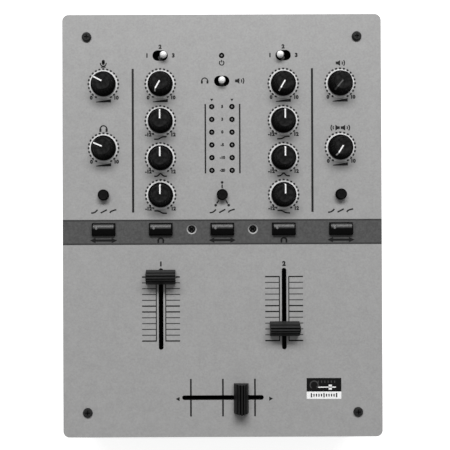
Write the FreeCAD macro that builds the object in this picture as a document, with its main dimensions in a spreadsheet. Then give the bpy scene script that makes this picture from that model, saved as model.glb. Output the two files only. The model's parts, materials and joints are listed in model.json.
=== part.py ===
import FreeCAD
import Part
import Sketcher
import os
from types import SimpleNamespace

# A two-channel DJ mixer in millimetres: X to the right, Y to the rear, Z up.
# The origin is on the surface it stands on, under the middle of the top panel.

SIZES = {
    # Case
    "panel_width": 254.0,
    "panel_depth": 336.5,
    "panel_thickness": 2.0,
    "panel_corner_radius": 5.0,
    "case_height": 66.0,
    "tray_wall": 1.2,
    "rear_plate_thickness": 1.2,
    "side_inset": 2.0,
    "front_inset": 6.0,
    "rear_inset": 10.0,
    "flange_width": 10.0,
    # Feet, posts and screws
    "foot_height": 8.0,
    "foot_diameter": 16.0,
    "foot_tip_diameter": 14.0,
    "foot_web": 3.0,
    "foot_recess_diameter": 7.0,
    "corner_side_inset": 19.5,
    "corner_rear_inset": 17.85,
    "corner_front_inset": 19.75,
    "post_across_flats": 7.0,
    "post_clear_diameter": 11.4,
    "screw_diameter": 2.9,
    "screw_gap": 0.1,
    "case_screw_length": 10.0,
    "case_head_diameter": 5.6,
    "case_head_crown": 4.2,
    "case_head_height": 2.0,
    "panel_screw_length": 9.0,
    "panel_head_diameter": 7.6,
    "panel_head_crown": 5.4,
    "panel_head_height": 2.2,
    "cross_length": 3.6,
    "cross_width": 0.9,
    "cross_depth": 1.1,
    "sunk_column": 24.4,
    "sunk_mouth_diameter": 8.4,
    "sunk_floor_diameter": 4.4,
    "sunk_head_diameter": 6.1,
    # Control board
    "board_drop": 14.0,
    "board_thickness": 1.6,
    "board_side_gap": 9.8,
    "board_rear_gap": 14.55,
    "board_front_edge": 18.7,
    # Rotary controls
    "level_side_inset": 32.7,
    "channel_column": 49.0,
    "gain_rear_inset": 55.25,
    "tone_pitch": 29.5,
    "level_pitch": 51.0,
    "knob_diameter": 19.9,
    "knob_height": 14.6,
    "knob_lift": 0.8,
    "knob_skirt_height": 1.6,
    "knob_grip_diameter": 17.0,
    "knob_grip_rise": 1.4,
    "knob_crown_diameter": 14.2,
    "knob_crown_round": 0.7,
    "knob_cavity_diameter": 14.6,
    "knob_cavity_gap": 1.0,
    "pointer_width": 1.3,
    "pointer_depth": 0.4,
    "shaft_diameter": 6.0,
    "shaft_rise": 11.0,
    "shaft_chamfer": 0.5,
    "running_gap": 0.05,
    "push_gap": 0.02,
    "pot_width": 17.0,
    "pot_height": 9.0,
    "pot_floor": 2.0,
    "bushing_diameter": 7.0,
    "bushing_past_nut": 0.8,
    "bushing_hole_gap": 0.2,
    "nut_across_flats": 10.0,
    "nut_height": 2.3,
    # Curve controls
    "curve_diameter": 8.8,
    "curve_rise": 5.0,
    "curve_lift": 0.6,
    "curve_shaft_diameter": 4.0,
    "curve_pot_width": 9.5,
    "curve_pot_height": 7.0,
    "curve_hole_gap": 0.5,
    # Toggle switches
    "toggle_rear_inset": 32.65,
    "cue_toggle_rear_inset": 53.05,
    "toggle_slot_length": 12.2,
    "toggle_slot_width": 8.4,
    "toggle_pivot_drop": 7.3,
    "toggle_pivot_diameter": 4.8,
    "toggle_neck_diameter": 2.8,
    "toggle_tip_diameter": 5.6,
    "toggle_bat_diameter": 5.0,
    "toggle_arm": 13.4,
    "toggle_socket_gap": 0.1,
    "toggle_socket_mouth": 4.4,
    "toggle_body_length": 13.0,
    "toggle_body_width": 8.0,
    "toggle_body_above_pivot": 1.9,
    "toggle_throw": 11.5,
    # Lights
    "power_light_rear_inset": 32.75,
    "meter_column": 8.05,
    "meter_rear_inset": 73.55,
    "meter_pitch": 10.16,
    "light_hole_diameter": 4.4,
    "light_diameter": 3.0,
    "light_flange_diameter": 3.8,
    "light_flange_height": 1.0,
    "light_body_height": 5.0,
    "light_recess": 0.3,
    "light_lead_diameter": 0.6,
    "light_lead_offset": 0.9,
    # Push buttons
    "button_side_inset": 32.5,
    "button_tone_spacing": 27.3,
    "button_width": 18.3,
    "button_depth": 9.5,
    "button_rise": 3.4,
    "button_rear_bevel": 2.2,
    "button_rear_drop": 1.0,
    "button_front_bevel": 0.8,
    "button_gap": 0.3,
    "button_flange_edge": 1.2,
    "button_flange_height": 1.2,
    "button_travel": 1.5,
    "button_stem_diameter": 3.4,
    "button_stem_entry": 2.4,
    "button_switch_width": 8.0,
    "button_switch_height": 7.0,
    # Faders
    "fader_button_spacing": 38.0,
    "fader_travel": 51.0,
    "crossfader_front_inset": 31.35,
    "fader_slot_length": 64.9,
    "fader_slot_width": 3.7,
    "fader_frame_length": 84.0,
    "fader_frame_width": 13.0,
    "fader_frame_height": 12.0,
    "fader_frame_wall": 1.0,
    "fader_rod_diameter": 2.0,
    "fader_rod_spacing": 6.4,
    "fader_rod_drop": 7.0,
    "carriage_length": 10.0,
    "carriage_width": 9.6,
    "carriage_height": 5.0,
    "stem_length": 4.0,
    "stem_thickness": 1.4,
    "stem_rise": 9.0,
    "cap_width": 23.3,
    "cap_length": 11.6,
    "cap_lift": 1.8,
    "cap_skirt_height": 1.6,
    "cap_shoulder_length": 7.6,
    "cap_shoulder_rise": 9.6,
    "cap_step": 0.35,
    "cap_crest_length": 3.4,
    "cap_crest_rise": 13.6,
    "cap_groove_depth": 0.9,
    "cap_rib_width": 1.4,
    "cap_rib_rise": 14.4,
    "channel_2_fader_drop": 41.2,
    "crossfader_shift": 14.4,
    # Rear and front sockets
    "socket_middle_drop": 35.0,
    "phono_inlet_gap": 4.5,
    "phono_pitch": 22.0,
    "phono_row_spacing": 16.0,
    "phono_diameter": 8.4,
    "phono_collar_diameter": 10.6,
    "phono_collar_reach": 1.0,
    "phono_reach": 9.0,
    "phono_bore_diameter": 3.2,
    "phono_bore_depth": 14.0,
    "phono_block_width": 13.0,
    "phono_block_depth": 11.0,
    "phono_block_edge": 8.0,
    "socket_hole_gap": 0.2,
    "jack_bore_diameter": 6.4,
    "jack_bore_depth": 26.0,
    "jack_bushing_diameter": 9.0,
    "jack_bushing_reach": 3.4,
    "jack_body_width": 15.0,
    "jack_body_depth": 27.0,
    "jack_nut_across_flats": 12.0,
    "jack_nut_height": 2.4,
    "inlet_switch_gap": 6.0,
    "inlet_bore_diameter": 5.6,
    "inlet_bore_depth": 9.5,
    "inlet_pin_diameter": 2.0,
    "inlet_pin_length": 8.0,
    "inlet_bushing_diameter": 8.0,
    "inlet_body_width": 11.0,
    "inlet_body_depth": 13.0,
    # Power switch
    "switch_post_gap": 3.6,
    "rocker_pivot_depth": 0.6,
    "rocker_reach": 8.5,
    "rocker_width": 11.4,
    "rocker_face": 4.2,
    "rocker_valley": 2.2,
    "rocker_back": 4.0,
    "rocker_half_height": 7.3,
    "rocker_throw": 10.0,
    "rocker_side_gap": 0.3,
    "rocker_pin_diameter": 2.4,
    "rocker_pin_length": 0.9,
    "bezel_width": 16.0,
    "bezel_height": 22.0,
    "bezel_thickness": 1.6,
    "switch_body_width": 14.4,
    "switch_body_height": 19.6,
    "switch_body_depth": 14.0,
    # Rest angles of the knobs, counter-clockwise from the rear
    "mic_angle": 63.0,
    "phones_angle": 68.0,
    "master_angle": 140.0,
    "booth_angle": 148.0,
    "gain_angle": 150.0,
    "tone_angle": 0.0,
}

METER_ROWS = 6
PHONO_COLUMNS = 6
CUT_PAST = 1.0
TOUCH = 1e-6
SQUARE_ROOT_3 = 3 ** 0.5


class Size:
    """A length that holds its number and the sheet formula that gives it."""

    def __init__(self, number, formula):
        self.number = number
        self.formula = formula

    def __add__(self, other):
        other = size_of(other)
        return Size(self.number + other.number, f"({self.formula} + {other.formula})")

    def __sub__(self, other):
        other = size_of(other)
        return Size(self.number - other.number, f"({self.formula} - {other.formula})")

    def __mul__(self, other):
        other = size_of(other)
        return Size(self.number * other.number, f"({self.formula} * {other.formula})")

    def __truediv__(self, other):
        other = size_of(other)
        return Size(self.number / other.number, f"({self.formula} / {other.formula})")

    def __neg__(self):
        return Size(-self.number, f"(0 - {self.formula})")


def size_of(value):
    """Give a plain number the form of a Size."""
    if isinstance(value, Size):
        return value
    return Size(float(value), str(float(value)))


doc = FreeCAD.newDocument("dj_mixer")
sheet = doc.addObject("Spreadsheet::Sheet", "Sizes")


def fill_sheet(sizes):
    """Write each size to the sheet under its own alias and return them all by name."""
    named = {}
    for row, (alias, number) in enumerate(sizes.items(), start=1):
        sheet.set(f"A{row}", alias)
        sheet.set(f"B{row}", str(number))
        sheet.setAlias(f"B{row}", alias)
        named[alias] = Size(number, f"Sizes.{alias}")
    doc.recompute()
    return SimpleNamespace(**named)


s = fill_sheet(SIZES)

# Levels and planes that many pieces share
panel_under = s.foot_height + s.case_height
panel_top = panel_under + s.panel_thickness
board_top = panel_under - s.board_drop
floor_top = s.foot_height + s.tray_wall
socket_level = panel_under - s.socket_middle_drop
side_edge = s.panel_width / 2
rear_edge = s.panel_depth / 2
front_edge = -rear_edge
rear_face = rear_edge - s.rear_inset
rear_inner = rear_face - s.rear_plate_thickness
front_face = front_edge + s.front_inset
front_inner = front_face + s.tray_wall
tray_width = s.panel_width - s.side_inset * 2
screw_hole = s.screw_diameter + s.screw_gap
bushing_rise = s.nut_height + s.bushing_past_nut

# Rows, from the rear edge forwards; the crossfader is set from the front edge
rear_corner_row = rear_edge - s.corner_rear_inset
front_corner_row = front_edge + s.corner_front_inset
toggle_row = rear_edge - s.toggle_rear_inset
power_light_row = rear_edge - s.power_light_rear_inset
cue_toggle_row = rear_edge - s.cue_toggle_rear_inset
meter_top_row = rear_edge - s.meter_rear_inset
gain_row = rear_edge - s.gain_rear_inset
lower_level_row = gain_row - s.level_pitch
low_tone_row = gain_row - s.tone_pitch * 3
button_row = low_tone_row - s.button_tone_spacing
fader_top_row = button_row - s.fader_button_spacing
fader_middle_row = fader_top_row - s.fader_travel / 2
crossfader_row = front_edge + s.crossfader_front_inset

# Columns, from the side edges inwards; the rear sockets follow the corner posts
corner_column = side_edge - s.corner_side_inset
level_column = side_edge - s.level_side_inset
button_outer_column = side_edge - s.button_side_inset
post_side = corner_column - s.post_clear_diameter / 2
jack_column = s.jack_body_width / 2 - post_side
rocker_column = post_side - s.switch_post_gap - s.switch_body_width / 2
inlet_column = rocker_column - s.bezel_width / 2 - s.inlet_switch_gap - s.inlet_body_width / 2
last_phono_column = inlet_column - s.inlet_body_width / 2 - s.phono_inlet_gap - s.phono_block_width / 2

X_AXIS = FreeCAD.Vector(1, 0, 0)
Y_AXIS = FreeCAD.Vector(0, 1, 0)
Z_AXIS = FreeCAD.Vector(0, 0, 1)
UPRIGHT = FreeCAD.Rotation()
REARWARD = FreeCAD.Rotation(X_AXIS, -90)
FORWARD = FreeCAD.Rotation(X_AXIS, 90)
RIGHTWARD = FreeCAD.Rotation(Y_AXIS, 90)
QUARTER_TURN = FreeCAD.Rotation(Z_AXIS, 90)

pieces = []


def bind(thing, **sizes):
    """Tie an object's own sizes to the sheet."""
    for name, length in sizes.items():
        thing.setExpression(name, size_of(length).formula)


def put(thing, x, y, z, turn=UPRIGHT):
    """Place an object by sizes from the sheet."""
    thing.Placement = FreeCAD.Placement(FreeCAD.Vector(), turn)
    for axis, length in zip("xyz", (x, y, z)):
        thing.setExpression(f"Placement.Base.{axis}", size_of(length).formula)


def put_turned(thing, x, y, z, axis, angle):
    """Place an object turned about an axis by an angle from the sheet."""
    put(thing, x, y, z, FreeCAD.Rotation(axis, angle.number))
    if angle.number:
        thing.setExpression("Placement.Rotation.Angle", angle.formula)


def keep(thing, label):
    """Name an object as one of the mixer's pieces."""
    thing.Label = label
    pieces.append(thing)
    return thing


def block(name, length, width, height, x, y, z):
    """A box centred on x and y, standing on z."""
    solid = doc.addObject("Part::Box", name)
    bind(solid, Length=length, Width=width, Height=height)
    put(solid, size_of(x) - size_of(length) / 2, size_of(y) - size_of(width) / 2, z)
    return solid


def rod(name, diameter, length, x, y, z, turn=UPRIGHT):
    """A cylinder that starts at a point and runs up, or along a turned axis."""
    solid = doc.addObject("Part::Cylinder", name)
    bind(solid, Radius=size_of(diameter) / 2, Height=length)
    put(solid, x, y, z, turn)
    return solid


def taper(name, lower, upper, height, x, y, z):
    """A cone between two diameters."""
    solid = doc.addObject("Part::Cone", name)
    bind(solid, Radius1=lower / 2, Radius2=upper / 2, Height=height)
    put(solid, x, y, z)
    return solid


def ball(name, diameter, x, y, z):
    """A sphere."""
    solid = doc.addObject("Part::Sphere", name)
    bind(solid, Radius=diameter / 2)
    put(solid, x, y, z)
    return solid


def hexagon(name, across_flats, height, x, y, z, turn=UPRIGHT):
    """A six-sided prism."""
    solid = doc.addObject("Part::Prism", name)
    solid.Polygon = 6
    bind(solid, Circumradius=across_flats / SQUARE_ROOT_3, Height=height)
    put(solid, x, y, z, turn)
    return solid


def join(name, *solids):
    """Several solids made into one."""
    whole = doc.addObject("Part::MultiFuse", name)
    whole.Shapes = list(solids)
    whole.Refine = True
    return whole


def group(name, solids):
    """Several separate solids kept side by side."""
    together = doc.addObject("Part::Compound", name)
    together.Links = list(solids)
    return together


def cut(name, base, *tools):
    """A solid with tools taken away from it."""
    result = doc.addObject("Part::Cut", name)
    result.Base = base
    result.Tool = tools[0] if len(tools) == 1 else group(f"{name}_tools", tools)
    return result


def slot(name, length, width, height, x, y, z, along):
    """A block with round ends, lying along X or Y."""
    straight = size_of(length) - width
    if along == "X":
        middle = block(f"{name}_middle", straight, width, height, x, y, z)
        ends = [(size_of(x) + straight / 2 * side, y) for side in (-1, 1)]
    else:
        middle = block(f"{name}_middle", width, straight, height, x, y, z)
        ends = [(x, size_of(y) + straight / 2 * side) for side in (-1, 1)]
    rounds = [rod(f"{name}_end_{i}", width, height, ex, ey, z) for i, (ex, ey) in enumerate(ends)]
    return join(name, middle, *rounds)


def outline(sketch, corners):
    """Draw a closed outline whose corners are pairs of sizes, tied to the sheet."""
    corners = [(size_of(x), size_of(y)) for x, y in corners]
    points = [FreeCAD.Vector(x.number, y.number, 0) for x, y in corners]
    count = len(points)
    for i in range(count):
        sketch.addGeometry(Part.LineSegment(points[i], points[(i + 1) % count]), False)
    for i in range(count):
        sketch.addConstraint(Sketcher.Constraint("Coincident", i, 2, (i + 1) % count, 1))
    for i, (x, y) in enumerate(corners):
        for kind, axis, length in (("DistanceX", -2, x), ("DistanceY", -1, y)):
            if length.number == 0:
                sketch.addConstraint(Sketcher.Constraint("PointOnObject", i, 1, axis))
            else:
                index = sketch.addConstraint(Sketcher.Constraint(kind, -1, 1, i, 1, length.number))
                sketch.setExpression(f"Constraints[{index}]", length.formula)


def profile(name, corners):
    """A new body with an outline drawn on its XZ plane."""
    body = doc.addObject("PartDesign::Body", name)
    sketch = body.newObject("Sketcher::SketchObject", f"{name}_outline")
    plane = [feature for feature in body.Origin.OriginFeatures if feature.Role == "XZ_Plane"][0]
    sketch.AttachmentSupport = (plane, [""])
    sketch.MapMode = "FlatFace"
    outline(sketch, corners)
    return body, sketch


def turned(name, corners):
    """A body turned about Z from corners given as radius and height."""
    body, sketch = profile(name, corners)
    turn = body.newObject("PartDesign::Revolution", f"{name}_turn")
    turn.Profile = sketch
    turn.ReferenceAxis = (sketch, ["V_Axis"])
    turn.Angle = 360
    return body


def padded(name, corners, length):
    """A body drawn out evenly to both sides of its XZ plane."""
    body, sketch = profile(name, corners)
    pad = body.newObject("PartDesign::Pad", f"{name}_pad")
    pad.Profile = sketch
    pad.SideType = "Symmetric"
    bind(pad, Length=length)
    return body


def rounded_rim(body, height, radius):
    """Round the edges of a body's last feature that lie at one height."""
    doc.recompute()
    solid = body.Tip
    names = []
    for number, edge in enumerate(solid.Shape.Edges, start=1):
        bounds = edge.BoundBox
        if abs(bounds.ZMin - height.number) < TOUCH and abs(bounds.ZMax - height.number) < TOUCH:
            names.append(f"Edge{number}")
    rim = body.newObject("PartDesign::Fillet", f"{body.Name}_rim")
    rim.Base = (solid, names)
    bind(rim, Radius=radius)


def carved(body, name, length, width, height, x, y, z):
    """Take a box out of a body; the box is centred on x, starts at y and stands on z."""
    hollow = body.newObject("PartDesign::SubtractiveBox", name)
    bind(hollow, Length=length, Width=width, Height=height)
    put(hollow, size_of(x) - size_of(length) / 2, y, z)


# Where each rotary control stands, and its rest angle
knobs = {
    "mic_level": (-level_column, gain_row, s.mic_angle),
    "phones_level": (-level_column, lower_level_row, s.phones_angle),
    "master_level": (level_column, gain_row, s.master_angle),
    "booth_level": (level_column, lower_level_row, s.booth_angle),
}
for channel, column in (("ch1", -s.channel_column), ("ch2", s.channel_column)):
    knobs[f"{channel}_gain"] = (column, gain_row, s.gain_angle)
    for step, band in enumerate(("high", "mid", "low"), start=1):
        knobs[f"{channel}_{band}"] = (column, gain_row - s.tone_pitch * step, s.tone_angle)

curves = {"ch1_curve": -level_column, "crossfader_curve": size_of(0), "ch2_curve": level_column}

# Each toggle's column and row, and the side that its lever is thrown to
toggles = {
    "ch1_input": (-s.channel_column, toggle_row, 1),
    "ch2_input": (s.channel_column, toggle_row, -1),
    "cue_select": (size_of(0), cue_toggle_row, 0),
}

buttons = {
    "ch1_reverse": -button_outer_column,
    "ch1_cue": -s.channel_column,
    "crossfader_reverse": size_of(0),
    "ch2_cue": s.channel_column,
    "ch2_reverse": button_outer_column,
}

lights = [(size_of(0), power_light_row)]
for step in range(METER_ROWS):
    row = meter_top_row - s.meter_pitch * step
    lights += [(-s.meter_column, row), (s.meter_column, row)]

# Each fader's frame column and row, its direction, and where its cap rests
faders = {
    "ch1_fader": (-s.channel_column, fader_middle_row, "Y", fader_top_row),
    "ch2_fader": (s.channel_column, fader_middle_row, "Y", fader_top_row - s.channel_2_fader_drop),
    "crossfader": (size_of(0), crossfader_row, "X", s.crossfader_shift),
}

corners = [
    (corner_column * side, row) for side in (-1, 1) for row in (front_corner_row, rear_corner_row)
]
sunk_places = [(s.sunk_column * side, button_row) for side in (-1, 1)]
phono_columns = [last_phono_column - s.phono_pitch * i for i in reversed(range(PHONO_COLUMNS))]
phono_rows = [socket_level + s.phono_row_spacing / 2 * side for side in (-1, 1)]
flange_columns = [(tray_width / 2 - s.tray_wall - s.flange_width / 2) * side for side in (-1, 1)]
flange_rows = [s.foot_height + s.flange_width, panel_under - s.flange_width]
rocker_pivot = rear_face + s.bezel_thickness - s.rocker_pivot_depth


def through_panel(name, diameter, x, y):
    """A round hole tool that goes right through the top panel."""
    depth = s.panel_thickness + CUT_PAST * 2
    return rod(name, diameter, depth, x, y, panel_under - CUT_PAST)


def top_panel():
    """The flat faceplate with rounded corners and an opening for every control."""
    plate = doc.addObject("PartDesign::Body", "panel_plate")
    sheet_metal = plate.newObject("PartDesign::AdditiveBox", "panel_sheet")
    bind(sheet_metal, Length=s.panel_width, Width=s.panel_depth, Height=s.panel_thickness)
    put(sheet_metal, -s.panel_width / 2, -s.panel_depth / 2, panel_under)
    doc.recompute()
    upright = []
    for number, edge in enumerate(sheet_metal.Shape.Edges, start=1):
        if edge.BoundBox.ZLength > edge.BoundBox.XLength + edge.BoundBox.YLength:
            upright.append(f"Edge{number}")
    rounded = plate.newObject("PartDesign::Fillet", "panel_rounded")
    rounded.Base = (sheet_metal, upright)
    bind(rounded, Radius=s.panel_corner_radius)
    low = panel_under - CUT_PAST
    depth = s.panel_thickness + CUT_PAST * 2
    tools = []
    for name, (x, y, angle) in knobs.items():
        tools.append(through_panel(f"{name}_hole", s.bushing_diameter + s.bushing_hole_gap * 2, x, y))
    for name, x in curves.items():
        hole = s.curve_shaft_diameter + s.curve_hole_gap * 2
        tools.append(through_panel(f"{name}_hole", hole, x, low_tone_row))
    for name, (x, y, side) in toggles.items():
        length = s.toggle_slot_length
        tools.append(slot(f"{name}_slot", length, s.toggle_slot_width, depth, x, y, low, "X"))
    for i, (x, y) in enumerate(lights):
        tools.append(through_panel(f"light_hole_{i}", s.light_hole_diameter, x, y))
    for name, x in buttons.items():
        width = s.button_width + s.button_gap * 2
        length = s.button_depth + s.button_gap * 2
        tools.append(block(f"{name}_window", width, length, depth, x, button_row, low))
    for name, (x, y, along, rest) in faders.items():
        length = s.fader_slot_length
        tools.append(slot(f"{name}_slot", length, s.fader_slot_width, depth, x, y, low, along))
    for i, (x, y) in enumerate(corners):
        tools.append(through_panel(f"corner_hole_{i}", screw_hole, x, y))
    for i, (x, y) in enumerate(sunk_places):
        mouth, floor = s.sunk_mouth_diameter, s.sunk_floor_diameter
        tools.append(taper(f"sunk_hole_{i}", floor, mouth, s.panel_thickness, x, y, panel_under))
    keep(cut("top_panel", plate, *tools), "top_panel")


def base_tray():
    """The folded tray: floor, sides and front, with two flanges that hold the rear panel."""
    depth = rear_inner - front_face
    middle = (rear_inner + front_face) / 2
    shell = block("tray_shell", tray_width, depth, s.case_height, 0, middle, s.foot_height)
    inner_width = tray_width - s.tray_wall * 2
    inner_depth = rear_inner - front_inner + CUT_PAST
    inner_middle = front_inner + inner_depth / 2
    inner_height = s.case_height - s.tray_wall + CUT_PAST
    space = block("tray_space", inner_width, inner_depth, inner_height, 0, inner_middle, floor_top)
    folded = [cut("tray_folded", shell, space)]
    for i, x in enumerate(flange_columns):
        row = rear_inner - s.tray_wall / 2
        size = (s.flange_width, s.tray_wall, s.case_height)
        folded.append(block(f"tray_flange_{i}", *size, x, row, s.foot_height))
    tools = []
    for i, (x, y) in enumerate(corners):
        length = s.tray_wall + CUT_PAST * 2
        tools.append(rod(f"floor_hole_{i}", screw_hole, length, x, y, s.foot_height - CUT_PAST))
    start = rear_inner - s.tray_wall - CUT_PAST
    for i, x in enumerate(flange_columns):
        for k, z in enumerate(flange_rows):
            length = s.tray_wall + CUT_PAST * 2
            tools.append(rod(f"flange_hole_{i}_{k}", screw_hole, length, x, start, z, REARWARD))
    jack_hole = s.jack_bushing_diameter + s.socket_hole_gap * 2
    length = s.tray_wall + CUT_PAST * 2
    start = front_face - CUT_PAST
    tools.append(rod("phones_hole", jack_hole, length, jack_column, start, socket_level, REARWARD))
    keep(cut("base_tray", join("tray_body", *folded), *tools), "base_tray")


def rear_panel():
    """The flat plate that closes the rear and carries the sockets."""
    middle = (rear_inner + rear_face) / 2
    thickness = s.rear_plate_thickness
    plate = block("rear_plate", tray_width, thickness, s.case_height, 0, middle, s.foot_height)
    start = rear_inner - CUT_PAST
    length = thickness + CUT_PAST * 2
    tools = []
    for i, x in enumerate(phono_columns):
        for k, z in enumerate(phono_rows):
            hole = s.phono_collar_diameter + s.socket_hole_gap * 2
            tools.append(rod(f"phono_hole_{i}_{k}", hole, length, x, start, z, REARWARD))
    jack_hole = s.jack_bushing_diameter + s.socket_hole_gap * 2
    tools.append(rod("mic_hole", jack_hole, length, jack_column, start, socket_level, REARWARD))
    inlet_hole = s.inlet_bushing_diameter + s.socket_hole_gap * 2
    tools.append(rod("inlet_hole", inlet_hole, length, inlet_column, start, socket_level, REARWARD))
    width = s.switch_body_width + s.socket_hole_gap * 2
    height = s.switch_body_height + s.socket_hole_gap * 2
    bottom = socket_level - height / 2
    tools.append(block("switch_window", width, length, height, rocker_column, middle, bottom))
    for i, x in enumerate(flange_columns):
        for k, z in enumerate(flange_rows):
            tools.append(rod(f"rear_hole_{i}_{k}", screw_hole, length, x, start, z, REARWARD))
    keep(cut("rear_panel", plate, *tools), "rear_panel")


def rubber_feet():
    """Four tapered feet, each with a recess for the screw that holds it."""
    shaft = screw_hole / 2
    recess = s.foot_recess_diameter / 2
    web = s.foot_height - s.foot_web
    feet = []
    for i, (x, y) in enumerate(corners):
        foot = turned(f"foot_{i}", [
            (recess, 0),
            (s.foot_tip_diameter / 2, 0),
            (s.foot_diameter / 2, s.foot_height),
            (shaft, s.foot_height),
            (shaft, web),
            (recess, web),
        ])
        put(foot, x, y, 0)
        feet.append(foot)
    keep(group("rubber_feet", feet), "rubber_feet")


def crossed(name, screw, top, x, y):
    """A screw with a cross recess in its head, which faces up at a level."""
    long_side = s.cross_length
    floor = top - s.cross_depth
    past = s.cross_depth + CUT_PAST
    bars = join(
        f"{name}_cross",
        block(f"{name}_bar_x", long_side, s.cross_width, past, x, y, floor),
        block(f"{name}_bar_y", s.cross_width, long_side, past, x, y, floor),
    )
    return cut(name, screw, bars)


def panel_screws():
    """Four pan-head screws in the corners and two sunk screws beside the middle button."""
    shank = s.screw_diameter / 2
    rim = s.panel_head_diameter / 2
    screws = []
    for i, (x, y) in enumerate(corners):
        body = turned(f"corner_screw_body_{i}", [
            (0, -s.panel_screw_length),
            (shank, -s.panel_screw_length),
            (shank, 0),
            (rim, 0),
            (rim, s.panel_head_height / 2),
            (s.panel_head_crown / 2, s.panel_head_height),
            (0, s.panel_head_height),
        ])
        put(body, x, y, panel_top)
        top = panel_top + s.panel_head_height
        screws.append(crossed(f"corner_screw_{i}", body, top, x, y))
    spread = s.sunk_mouth_diameter - s.sunk_floor_diameter
    sink = s.panel_thickness * (s.sunk_mouth_diameter - s.sunk_head_diameter) / spread
    head = s.sunk_head_diameter / 2 - s.screw_gap / 2
    neck = s.sunk_floor_diameter / 2 - s.screw_gap / 2
    for i, (x, y) in enumerate(sunk_places):
        body = turned(f"sunk_screw_body_{i}", [
            (0, -s.panel_screw_length),
            (shank, -s.panel_screw_length),
            (shank, -s.panel_thickness),
            (neck, -s.panel_thickness),
            (head, -sink),
            (0, -sink),
        ])
        put(body, x, y, panel_top)
        screws.append(crossed(f"sunk_screw_{i}", body, panel_top - sink, x, y))
    keep(group("panel_screws", screws), "panel_screws")


def case_screw(name, x, y, z, turn):
    """A small pan-head screw whose shank runs up, or along a turned axis, from its seat."""
    rim = s.case_head_diameter / 2
    shank = s.screw_diameter / 2
    screw = turned(name, [
        (0, -s.case_head_height),
        (s.case_head_crown / 2, -s.case_head_height),
        (rim, -s.case_head_height / 2),
        (rim, 0),
        (shank, 0),
        (shank, s.case_screw_length),
        (0, s.case_screw_length),
    ])
    put(screw, x, y, z, turn)
    return screw


def case_fasteners():
    """The screws under the feet and on the rear panel, and the nuts of the round sockets."""
    seat = s.foot_height - s.foot_web
    parts = [case_screw(f"foot_screw_{i}", x, y, seat, UPRIGHT) for i, (x, y) in enumerate(corners)]
    for i, x in enumerate(flange_columns):
        for k, z in enumerate(flange_rows):
            parts.append(case_screw(f"rear_screw_{i}_{k}", x, rear_face, z, FORWARD))
    jack = (s.jack_bushing_diameter, s.jack_nut_across_flats)
    inlet = (s.inlet_bushing_diameter, s.nut_across_flats)
    places = [
        ("mic_nut", jack_column, rear_face, REARWARD, *jack),
        ("phones_nut", jack_column, front_face, FORWARD, *jack),
        ("inlet_nut", inlet_column, rear_face, REARWARD, *inlet),
    ]
    for name, x, y, turn, bushing, flats in places:
        blank = hexagon(f"{name}_blank", flats, s.jack_nut_height, x, y, socket_level, turn)
        hole = rod(f"{name}_hole", bushing + s.push_gap * 2, s.jack_nut_height, x, y, socket_level, turn)
        parts.append(cut(name, blank, hole))
    keep(group("case_fasteners", parts), "case_fasteners")


def spacer_posts():
    """Four tall posts from floor to panel and two short ones that hold the board."""
    places = [(x, y, floor_top) for x, y in corners] + [(x, y, board_top) for x, y in sunk_places]
    posts = []
    for i, (x, y, low) in enumerate(places):
        height = panel_under - low
        blank = hexagon(f"post_blank_{i}", s.post_across_flats, height, x, y, low)
        posts.append(cut(f"post_{i}", blank, rod(f"post_bore_{i}", screw_hole, height, x, y, low)))
    keep(group("spacer_posts", posts), "spacer_posts")


def control_board():
    """The circuit board that hangs under the panel and carries the controls."""
    rear = rear_inner - s.board_rear_gap
    front = button_row - s.board_front_edge
    width = tray_width - (s.tray_wall + s.board_side_gap) * 2
    bottom = board_top - s.board_thickness
    board = block("board", width, rear - front, s.board_thickness, 0, (rear + front) / 2, bottom)
    keep(board, "control_board")


def rotary_pots():
    """Twelve panel pots with threaded bushings, and three small pots under the curve knobs."""
    pots = []
    bore = s.shaft_diameter + s.running_gap * 2
    bushing_top = panel_top + bushing_rise
    for name, (x, y, angle) in knobs.items():
        case = block(f"{name}_pot_case", s.pot_width, s.pot_width, s.pot_height, x, y, board_top)
        bushing = rod(f"{name}_bushing", s.bushing_diameter, bushing_top - board_top, x, y, board_top)
        floor = board_top + s.pot_floor
        hole = rod(f"{name}_bore", bore, bushing_top - floor + CUT_PAST, x, y, floor)
        pots.append(cut(f"{name}_pot", join(f"{name}_pot_body", case, bushing), hole))
    bore = s.curve_shaft_diameter + s.running_gap * 2
    for name, x in curves.items():
        width = s.curve_pot_width
        case = block(f"{name}_pot_case", width, width, s.curve_pot_height, x, low_tone_row, board_top)
        floor = board_top + s.pot_floor
        hole = rod(f"{name}_bore", bore, s.curve_pot_height, x, low_tone_row, floor)
        pots.append(cut(f"{name}_pot", case, hole))
    keep(group("rotary_pots", pots), "rotary_pots")


def pot_nuts():
    """The hexagon nuts that clamp the panel pots, hidden inside the knobs."""
    nuts = []
    for name, (x, y, angle) in knobs.items():
        blank = hexagon(f"{name}_nut_blank", s.nut_across_flats, s.nut_height, x, y, panel_top)
        hole = rod(f"{name}_nut_hole", s.bushing_diameter + s.push_gap * 2, s.nut_height, x, y, panel_top)
        nuts.append(cut(f"{name}_nut", blank, hole))
    keep(group("pot_nuts", nuts), "pot_nuts")


def rotary_shafts():
    """One round shaft per panel pot, from the pot's floor up into the knob."""
    bottom = board_top + s.pot_floor + s.running_gap
    radius = s.shaft_diameter / 2
    length = panel_top + s.shaft_rise - bottom
    for name, (x, y, angle) in knobs.items():
        shaft = turned(f"{name}_shaft", [
            (0, 0),
            (radius, 0),
            (radius, length - s.shaft_chamfer),
            (radius - s.shaft_chamfer, length),
            (0, length),
        ])
        put_turned(shaft, x, y, bottom, Z_AXIS, angle)
        keep(shaft, f"{name}_shaft")


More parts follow.
